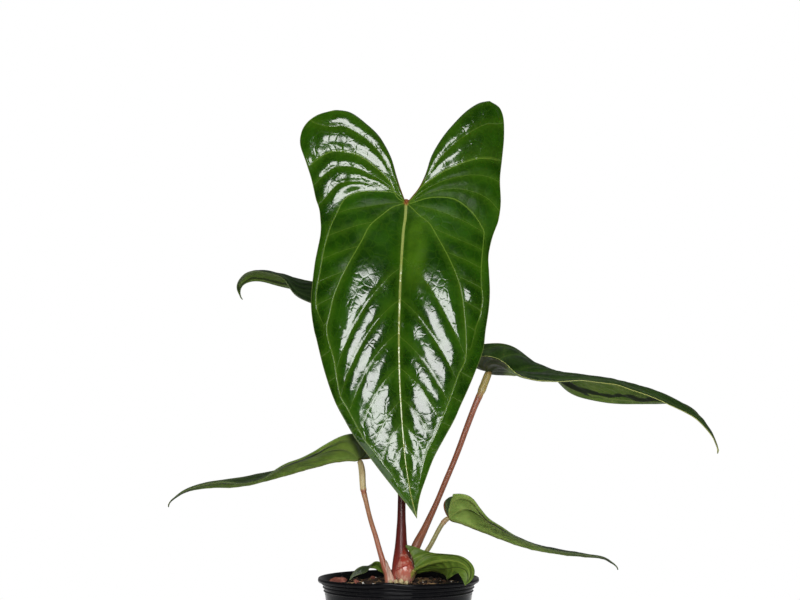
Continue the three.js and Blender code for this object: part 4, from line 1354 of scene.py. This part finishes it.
def root_skin():
    shader = Shader("root_skin")
    age = shader.field("tone")
    spots = shader.noise(shader.place(), 420.0, detail=4)
    coloured = shader.blend(shader.ease(age, 0.2, 0.9), tone(206, 188, 142), tone(150, 118, 82))
    coloured = shader.blend(shader.ease(spots, 0.5, 0.7, 0.0, 0.7), coloured, tone(120, 88, 58))
    relief = shader.bump(spots, 0.3 * MM, 0.8)
    return shader.finish(base_color=coloured, roughness=0.5, normal=relief, subsurface_weight=0.05)


def rhizome_piece():
    def scarred(angle, share):
        rings = 0.05 * np.sin(46 * share + np.sin(angle)) ** 3
        return 1 + rings + 0.04 * np.sin(5 * angle + 8 * share)

    pile = Pile()
    points, faces, _ = tube(RHIZOME, 64, 90, scarred)
    pile.add(points, faces, slot=0)
    for i in range(ROOT_STUBS):
        angle = i / ROOT_STUBS * 2 * math.pi + 0.35
        dx, dy = math.cos(angle), math.sin(angle)
        end = ROOT_START - ROOT_DROPS[i % len(ROOT_DROPS)]
        root = [
            (1 + 4 * dx, 4 * dy, ROOT_START, 1.7), (1 + 11 * dx, 11 * dy, ROOT_START - 3, 1.6),
            (1 + 15 * dx, 15 * dy, end, 1.1),
        ]
        points, faces, _ = tube(root, 16, 40, lambda a, s: 1 + 0.08 * np.sin(23 * s + a))
        pile.add(points, faces, slot=1, tone=0.8)
    for x, y, z, radius, lean in ROOT_NUBS:
        nub = [
            (x, y + 3, z - 3.5, radius), (x, y + 0.6, z - 0.6, radius * 1.08),
            (x + lean, y - 0.8, z, radius * 0.9), (x + 1.4 * lean, y - 1.6, z + 0.1, radius * 0.4),
        ]
        points, faces, _ = tube(nub, 20, 24)
        pile.add(points, faces, slot=1, tone=0.1)
    pile.piece("rhizome_bark", [woody(), root_skin()], replaces=["rhizome"], slot="rhizome")


bud_piece()
points, faces, along = tube(CATAPHYLL, 72, 110, cataphyll_shape)
make_piece(
    "papery_scale", points, faces, [papery()], None, {"stem": along}, replaces=["cataphyll"],
    slot="cataphyll",
)
rhizome_piece()


# The pot: a tapered thin wall with three stiffening rings under a flared lip, and a floor with drain
# holes. The rim is a little bent: it stands higher at the front, where it also has one short kink.

RING_HEIGHTS = (90.2, 92.9, 95.6)
RING_HEIGHT = 1.1
RING_DEPTH = 0.8
DRAIN_HOLES = 6
DRAIN_RADIUS = 4
DRAIN_CIRCLE = 29
DRAIN_SIDES = 32
POT_SIDES = 288
FOOT_ROUND = 1.6
LIP_HEIGHT = 97.6
FLARE_REACH = 4
RIM_RISE = 0.7
RIM_KINK = 1.4
RIM_KINK_ANGLE = -1.71
RIM_KINK_SPAN = 0.16


def wall_radius(height):
    share = np.minimum(height / POT_SHOULDER_HEIGHT, 1)
    flare = np.maximum(0, height - POT_SHOULDER_HEIGHT) / (POT_HEIGHT - POT_SHOULDER_HEIGHT)
    return POT_FOOT_RADIUS + (POT_SHOULDER_RADIUS - POT_FOOT_RADIUS) * share + FLARE_REACH * flare**1.8


def floor_plate(radius, height, faces_up):
    """A flat round plate with the drain holes left open."""
    angle = np.arange(POT_SIDES) * 2 * math.pi / POT_SIDES
    loops = [np.stack([radius * np.cos(angle), radius * np.sin(angle)], axis=1)]
    turn = np.arange(DRAIN_SIDES) * 2 * math.pi / DRAIN_SIDES
    ring = DRAIN_RADIUS * np.stack([np.cos(turn), np.sin(turn)], axis=1)
    for i in range(DRAIN_HOLES):
        middle = i / DRAIN_HOLES * 2 * math.pi
        loops.append(ring + DRAIN_CIRCLE * np.array([math.cos(middle), math.sin(middle)]))
    spots, edges = [], []
    for loop in loops:
        first = len(spots)
        spots += [Vector(spot) for spot in loop]
        edges += [(first + i, first + (i + 1) % len(loop)) for i in range(len(loop))]
    flat, _, triangles, *_ = delaunay_2d_cdt(spots, edges, [], 0, 1e-5)
    holes = [loop.mean(0) for loop in loops[1:]]
    kept = []
    for triangle in triangles:
        middle = np.mean([flat[i] for i in triangle], axis=0)
        if all(np.linalg.norm(middle - hole) > DRAIN_RADIUS * 0.98 for hole in holes):
            area = (flat[triangle[1]] - flat[triangle[0]]).cross(flat[triangle[2]] - flat[triangle[0]])
            kept.append(tuple(triangle) if (area > 0) == faces_up else tuple(reversed(triangle)))
    points = np.array([(spot.x, spot.y, height) for spot in flat])
    return points, kept


def pot_points():
    """The pot's wall and lip as turned, with rounded rings, and its floor as two plates joined at the
    holes."""
    outside = [(POT_FOOT_RADIUS - FOOT_ROUND, 0)]
    for turn in np.linspace(0, math.pi / 2, 6)[1:]:
        outside.append(
            (POT_FOOT_RADIUS - FOOT_ROUND + FOOT_ROUND * math.sin(turn), FOOT_ROUND * (1 - math.cos(turn)))
        )
    for height in np.concatenate([np.linspace(6, 84, 14), np.arange(85, LIP_HEIGHT - 0.7, 0.22)]):
        radius = wall_radius(height)
        for middle in RING_HEIGHTS:
            radius += RING_DEPTH * np.exp(-(((height - middle) / (0.55 * RING_HEIGHT)) ** 2))
        outside.append((float(radius), float(height)))
    lip = [(-0.4, -0.75), (-0.15, -0.3), (0, 0.2), (0, 1.2)]
    outside += [(POT_RIM_RADIUS + out, LIP_HEIGHT + up) for out, up in lip]
    outside += [
        (POT_RIM_RADIUS - 0.15, POT_HEIGHT - 0.4), (POT_RIM_RADIUS - 0.5, POT_HEIGHT - 0.08),
        (POT_RIM_RADIUS - 0.9, POT_HEIGHT), (POT_RIM_RADIUS - 1.5, POT_HEIGHT - 0.1),
        (POT_RIM_RADIUS - 1.9, POT_HEIGHT - 0.5),
    ]
    inside = [(float(wall_radius(height)) - POT_WALL, float(height)) for height in np.arange(98.5, 84, -0.5)]
    inside += [(float(wall_radius(height)) - POT_WALL, height) for height in (70, 50, 30, 10)]
    inside.append((float(wall_radius(POT_FLOOR)) - POT_WALL - 0.6, POT_FLOOR))
    points, faces = lathe(outside + inside, POT_SIDES)
    foot, shelf = outside[0][0], inside[-1][0]
    under, under_faces = floor_plate(foot, 0, False)
    above, above_faces = floor_plate(shelf, POT_FLOOR, True)
    count = len(points)
    faces = faces + [tuple(i + count for i in face) for face in under_faces]
    faces += [tuple(i + count + len(under) for i in face) for face in above_faces]
    for i in range(DRAIN_HOLES):
        first = count + POT_SIDES + DRAIN_SIDES * i
        for k in range(DRAIN_SIDES):
            a, b = first + k, first + (k + 1) % DRAIN_SIDES
            faces.append((a, b, b + len(under), a + len(under)))
    points = np.vstack([points, under, above])
    angle = np.arctan2(points[:, 1], points[:, 0])
    kink = RIM_KINK * np.exp(-(((angle - RIM_KINK_ANGLE) / RIM_KINK_SPAN) ** 2))
    lift = RIM_RISE * np.maximum(0, -np.sin(angle)) + kink
    points[:, 2] += lift * smoothstep(points[:, 2], 90, 99)
    return points, faces


def black_plastic():
    shader = Shader("black_plastic")
    broad = shader.noise(shader.place(), 18.0, detail=3)
    fine = shader.noise(shader.place(), 900.0, detail=2)
    dust = shader.noise(shader.place(), 160.0, detail=5, roughness=0.65)
    coloured = shader.blend(
        shader.ease(dust, 0.5, 0.78, 0.0, 0.3), (0.004, 0.004, 0.005, 1), (0.02, 0.019, 0.018, 1)
    )
    relief = shader.bump(broad, 0.8 * MM, 0.25)
    relief = shader.bump(fine, 0.01 * MM, 0.5, relief)
    dull = shader.ease(dust, 0.35, 0.7, 0.14, 0.24)
    return shader.finish(base_color=coloured, roughness=dull, normal=relief, specular_ior_level=0.14)


points, faces = pot_points()
make_piece("pot", points, faces, [black_plastic()], replaces=["nursery_pot"], slot="nursery_pot")


# The potting mix: a mound with hundreds of loose bits on it

SEAT_GAP = 0.35
MIX_RADIUS = float(wall_radius(MIX_LEVEL)) - POT_WALL - SEAT_GAP
MIX_TOP = 99.4
BARK_CHIPS = 560
WHITE_BITS = 64
FIBRES = 150

# Bits that the photo shows at the rim: place, height over the mound, size, slot of the mix and shade
PLACED_BITS = [
    (-20, -20, 2.2, (5, 4, 3), 1, 0.8), (-52, 8, 3.4, (5, 4, 3), 1, 0.2),
    (-48, 20, 3.2, (6, 4, 3), 1, 0.6), (-43, 26, 3.6, (5, 5, 4), 1, 0.4),
    (-18.5, -24, 2.6, (2.4, 2, 2), 2, 0.9), (-13.5, -27, 2.4, (2, 2, 1.8), 2, 0.8),
    (14, -30, 2.4, (8, 2.4, 1.6), 3, 0.9), (18, -28, 2.8, (6, 2, 1.6), 3, 0.7),
    (22, -26, 2.4, (5, 3, 2), 1, 0.9), (34, -20, 2.6, (6, 4, 3), 1, 0.7),
    (8, -32, 2.0, (5, 3, 2.4), 1, 0.5), (-30, -16, 2.4, (7, 4, 3), 1, 0.5),
]


def mix_height(x, y):
    mound = MIX_MOUND * np.maximum(0, 1 - np.hypot(x, y) / MIX_RADIUS)
    return MIX_LEVEL + mound + 0.5 * np.sin(x * 0.31 + 1) * np.cos(y * 0.27)


def mix_body():
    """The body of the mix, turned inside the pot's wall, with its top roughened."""
    sides = 220
    profile = [(0, POT_FLOOR + SEAT_GAP)]
    for height in (POT_FLOOR + SEAT_GAP, 30, 60, MIX_LEVEL - 5):
        step = 0.8 if height < 2 * POT_FLOOR else 0
        profile.append((float(wall_radius(height)) - POT_WALL - SEAT_GAP - step, height))
    profile += [(radius, MIX_LEVEL) for radius in np.linspace(MIX_RADIUS, 0, 90)]
    points, faces = lathe(profile, sides)
    top = points[:, 2] > MIX_LEVEL - 1
    x, y = points[top, 0], points[top, 1]
    rough = 0.9 * waves(points[top, :2], 9, seed=5, octaves=4)
    rough = rough + 0.35 * waves(points[top, :2], 2.2, seed=6, octaves=2)
    points[top, 2] = mix_height(x, y) - 0.8 + rough
    return points, faces


def ball(subdivisions):
    mesh = bmesh.new()
    bmesh.ops.create_icosphere(mesh, subdivisions=subdivisions, radius=1)
    points = np.array([vertex.co[:] for vertex in mesh.verts])
    faces = [tuple(vertex.index for vertex in face.verts) for face in mesh.faces]
    mesh.free()
    return points, faces


def chunk(random, size):
    """A broken bit: a ball cut by random planes to flat faces, in the given sizes."""
    points, faces = ball(2)
    for direction in unit(random.normal(size=(7, 3))):
        cut = random.uniform(0.45, 0.8)
        height = points @ direction
        points -= direction * np.maximum(height - cut, 0)[:, None]
    points *= 1 + 0.05 * random.normal(size=(len(points), 1))
    return points * np.array(size) / 2, faces


def turned(points, random, tilt):
    """The points turned anyhow about Z and tilted by up to a given angle."""
    spin = Matrix.Rotation(random.uniform(0, 2 * math.pi), 3, "Z")
    lean = Matrix.Rotation(random.uniform(-tilt, tilt), 3, "X")
    lean = lean @ Matrix.Rotation(random.uniform(-tilt, tilt), 3, "Y")
    return points @ np.array(spin @ lean).T


def on_mix(random, spread=0.97):
    radius = MIX_RADIUS * spread * math.sqrt(random.uniform(0.0, 1))
    angle = random.uniform(0, 2 * math.pi)
    return radius * math.cos(angle), radius * math.sin(angle)


def settled(points, x, y, sink):
    """The points set down on the mix, kept off the wall and under the rim."""
    points = points + (x, y, float(mix_height(x, y)) + sink)
    reach = np.hypot(points[:, 0], points[:, 1])
    limit = MIX_RADIUS - 0.1
    points[:, :2] *= np.minimum(1, limit / np.maximum(reach, 1e-6))[:, None]
    points[:, 2] = np.minimum(points[:, 2], MIX_TOP)
    return points


def fibre(random):
    """A coarse fibre's line over the mix, bent up in its middle, with its radius."""
    reach = random.uniform(2.5, 8)
    heading = random.uniform(0, 2 * math.pi)
    radius = random.uniform(0.16, 0.4)
    stations = []
    for along, up in [(-1, -0.6), (-0.3, 0.3), (0.35, 0.4), (1, -0.5)]:
        way = heading + 0.3 * along
        height = 1.2 * up + random.uniform(-0.3, 0.3)
        stations.append((reach * along * math.cos(way), reach * along * math.sin(way), height, radius))
    return stations


def mix_piece():
    random = np.random.default_rng(11)
    pile = Pile()
    points, faces = mix_body()
    pile.add(points, faces, slot=0)
    for _ in range(BARK_CHIPS):
        length = random.uniform(3, 10)
        size = (length, length * random.uniform(0.4, 0.8), length * random.uniform(0.2, 0.45))
        bit, faces = chunk(random, size)
        x, y = on_mix(random)
        bit = settled(turned(bit, random, 0.6), x, y, random.uniform(-0.8, 0.7))
        pile.add(bit, faces, slot=1, tone=random.uniform(0, 1))
    for _ in range(WHITE_BITS):
        size = random.uniform(1.1, 2.6) * random.uniform(0.7, 1.2, 3)
        bit, faces = chunk(random, size)
        x, y = on_mix(random)
        bit = settled(turned(bit, random, 1.5), x, y, random.uniform(0.1, 1.0))
        pile.add(bit, faces, slot=2, tone=random.uniform(0, 1))
    for _ in range(FIBRES):
        x, y = on_mix(random, 0.9)
        line, faces, _ = tube(fibre(random), 7, 14)
        pile.add(settled(line, x, y, 0.8), faces, slot=3, tone=random.uniform(0, 1))
    for x, y, sink, size, slot, shade in PLACED_BITS:
        bit, faces = chunk(random, size)
        pile.add(settled(turned(bit, random, 0.3), x, y, sink), faces, slot=slot, tone=shade)
    pile.piece(
        "mix", [bark_dust(), bark_chip(), white_grit(), fibre_skin()], replaces=["potting_mix"],
        slot="potting_mix",
    )


def bark_dust():
    shader = Shader("bark_dust")
    grain = shader.noise(shader.place(), 340.0, detail=6, roughness=0.65)
    wide = shader.noise(shader.place(), 70.0, detail=3)
    coloured = shader.ramp(
        grain, [(0.34, tone(14, 10, 7)), (0.52, tone(34, 25, 18)), (0.7, tone(66, 50, 36))]
    )
    coloured = shader.blend(shader.ease(wide, 0.5, 0.7, 0.0, 0.5), coloured, tone(30, 32, 18))
    relief = shader.bump(grain, 1.2 * MM, 1.0)
    return shader.finish(base_color=coloured, roughness=0.9, normal=relief)


def bark_chip():
    shader = Shader("bark_chip")
    shade = shader.field("tone")
    grain = shader.noise(shader.place(), 260.0, detail=5, stretch=(1, 0.35, 1))
    fine = shader.noise(shader.place(), 900.0, detail=4)
    base = shader.ramp(shade, [
        (0.0, tone(22, 15, 11)), (0.55, tone(48, 32, 22)), (0.82, tone(84, 56, 38)), (1.0, tone(136, 98, 66)),
    ])
    coloured = shader.blend(shader.ease(grain, 0.42, 0.66, 0.7, 0.0), base, tone(28, 18, 13))
    coloured = shader.blend(shader.ease(fine, 0.58, 0.74, 0.0, 0.4), coloured, tone(160, 128, 96))
    relief = shader.bump(shader.plus(grain, shader.times(fine, 0.4)), 0.7 * MM, 1.0)
    return shader.finish(base_color=coloured, roughness=0.85, normal=relief)


def white_grit():
    shader = Shader("white_grit")
    shade = shader.field("tone")
    pits = shader.noise(shader.place(), 1400.0, detail=4)
    coloured = shader.blend(shade, tone(206, 200, 188), tone(244, 242, 236))
    coloured = shader.blend(shader.ease(pits, 0.5, 0.7, 0.0, 0.5), coloured, tone(150, 136, 116))
    relief = shader.bump(pits, 0.25 * MM, 1.0)
    return shader.finish(base_color=coloured, roughness=0.8, normal=relief)


def fibre_skin():
    shader = Shader("fibre_skin")
    shade = shader.field("tone")
    grain = shader.noise(shader.place(), 700.0, detail=4)
    coloured = shader.blend(shade, tone(104, 76, 48), tone(186, 152, 108))
    coloured = shader.blend(shader.ease(grain, 0.5, 0.7, 0.0, 0.6), coloured, tone(70, 48, 32))
    relief = shader.bump(grain, 0.2 * MM, 0.8)
    return shader.finish(base_color=coloured, roughness=0.75, normal=relief)


def fired_clay():
    shader = Shader("fired_clay")
    grain = shader.noise(shader.place(), 330.0, detail=6, roughness=0.6)
    pits = shader.cells(shader.place(), 420.0, "F1")
    coloured = shader.ramp(
        grain, [(0.34, tone(104, 56, 44)), (0.52, tone(142, 82, 68)), (0.72, tone(176, 118, 98))]
    )
    coloured = shader.blend(shader.ease(pits, 0.1, 0.32, 0.6, 0.0), coloured, tone(70, 36, 28))
    raised = shader.plus(grain, shader.ease(pits, 0.1, 0.4, 0.0, 0.5))
    relief = shader.bump(raised, 0.5 * MM, 1.0)
    return shader.finish(base_color=coloured, roughness=0.85, normal=relief)


# The loose chips of fired clay: middle, length, width, thickness and turn
CLAY_CHIPS = [
    (-44.6, 2, 97, 16, 9, 6.4, 0.12), (-31.6, 0, 96.4, 6.4, 5, 4.6, 2.2), (-19.6, 34, 96, 5, 4, 3.6, 1.1),
]


def clay_chip(number, x, y, z, length, width, thickness, turn, material):
    """A chip broken to flat faces, with rough edges."""
    random = np.random.default_rng(20 + number)
    points, faces = ball(5)
    for direction in unit(random.normal(size=(13, 3))):
        cut = random.uniform(0.66, 0.86)
        points -= direction * np.maximum(points @ direction - cut, 0)[:, None]
    points *= (1 + 0.025 * waves(points, 0.6, seed=number))[:, None]
    points = points / np.abs(points).max(0) * np.array([length, width, thickness]) * 0.47
    cosine, sine = math.cos(turn), math.sin(turn)
    points = points @ np.array([(cosine, sine, 0), (-sine, cosine, 0), (0, 0, 1)]) + (x, y, z)
    node = f"clay_chip_{number}"
    make_piece(f"fired_clay_{number}", points, faces, [material], replaces=[node], slot="clay_chips")


mix_piece()
clay = fired_clay()
for number, chip in enumerate(CLAY_CHIPS, 1):
    clay_chip(number, *chip, clay)


# Studio: a pale floor that fades into the white backdrop, soft lights and the camera

FLOOR_RADIUS = 720


def studio_floor():
    shader = Shader("studio_floor")
    distance = shader.node("ShaderNodeVectorMath", {0: shader.place()}, output=1, operation="LENGTH")
    grain = shader.noise(shader.place(), 30.0, detail=4)
    base = shader.blend(shader.ease(grain, 0.3, 0.7), (0.82, 0.82, 0.82, 1), (0.86, 0.86, 0.86, 1))
    paper = shader.node("ShaderNodeBsdfPrincipled", {"Base Color": base, "Roughness": 0.8})
    glow = shader.node("ShaderNodeEmission", {"Color": (1, 1, 1, 1), "Strength": 1.0})
    fade = shader.ease(distance, 0.32 * FLOOR_RADIUS * MM, 0.97 * FLOOR_RADIUS * MM)
    surface = shader.node("ShaderNodeMixShader", {0: fade, 1: paper, 2: glow})
    shader.node("ShaderNodeOutputMaterial", {"Surface": surface})
    points, faces = lathe([(0, -0.5), (FLOOR_RADIUS, -0.5)], 256)
    mesh = bpy.data.meshes.new("floor")
    mesh.from_pydata((points * MM).tolist(), [], [tuple(face) for face in faces])
    mesh.materials.append(shader.material)
    floor = bpy.data.objects.new("floor", mesh)
    bpy.context.scene.collection.objects.link(floor)


def softbox(name, place, aim, width, height, power, reflected=True):
    light = bpy.data.lights.new(name, "AREA")
    light.shape = "RECTANGLE"
    light.size = width * MM
    light.size_y = height * MM
    light.energy = power
    lamp = bpy.data.objects.new(name, light)
    lamp.location = Vector(place) * MM
    lamp.rotation_euler = (Vector(aim) - Vector(place)).to_track_quat("-Z", "Y").to_euler()
    lamp.visible_camera = False
    lamp.visible_glossy = reflected
    bpy.context.scene.collection.objects.link(lamp)


def studio_world():
    world = bpy.data.worlds.new("studio")
    world.use_nodes = True
    bpy.context.scene.world = world
    tree = world.node_tree
    tree.nodes.clear()
    coordinates = tree.nodes.new("ShaderNodeTexCoord")
    split = tree.nodes.new("ShaderNodeSeparateXYZ")
    ramp = tree.nodes.new("ShaderNodeMapRange")
    ramp.inputs["From Min"].default_value = -0.05
    ramp.inputs["From Max"].default_value = 0.9
    ramp.inputs["To Min"].default_value = 0.01
    ramp.inputs["To Max"].default_value = 0.2
    around, backdrop = (tree.nodes.new("ShaderNodeBackground") for _ in range(2))
    path = tree.nodes.new("ShaderNodeLightPath")
    mixed = tree.nodes.new("ShaderNodeMixShader")
    output = tree.nodes.new("ShaderNodeOutputWorld")
    tree.links.new(coordinates.outputs["Generated"], split.inputs[0])
    tree.links.new(split.outputs["Y"], ramp.inputs["Value"])
    tree.links.new(ramp.outputs[0], around.inputs["Strength"])
    tree.links.new(path.outputs["Is Camera Ray"], mixed.inputs[0])
    tree.links.new(around.outputs[0], mixed.inputs[1])
    tree.links.new(backdrop.outputs[0], mixed.inputs[2])
    tree.links.new(mixed.outputs[0], output.inputs["Surface"])
    around.inputs["Color"].default_value = (1, 1, 1, 1)
    backdrop.inputs["Color"].default_value = (1, 1, 1, 1)


def studio_camera():
    lens = bpy.data.cameras.new("camera")
    lens.lens = CAMERA_LENS
    lens.sensor_width = 36
    camera = bpy.data.objects.new("camera", lens)
    camera.location = Vector(CAMERA_PLACE) * MM
    camera.rotation_euler = (math.radians(90), 0, 0)
    bpy.context.scene.collection.objects.link(camera)
    bpy.context.scene.camera = camera
    bpy.context.scene.view_settings.view_transform = "Standard"


studio_floor()
softbox("key", (0, -2000, 770), (0, 0, 300), 1500, 800, 34)
softbox("fill_left", (-1400, -1300, 700), (0, 0, 250), 1200, 1200, 5, reflected=False)
softbox("fill_right", (1400, -1300, 700), (0, 0, 250), 1200, 1200, 5, reflected=False)
softbox("top", (0, 200, 1500), (0, 0, 200), 1400, 1400, 8, reflected=False)
studio_world()
studio_camera()
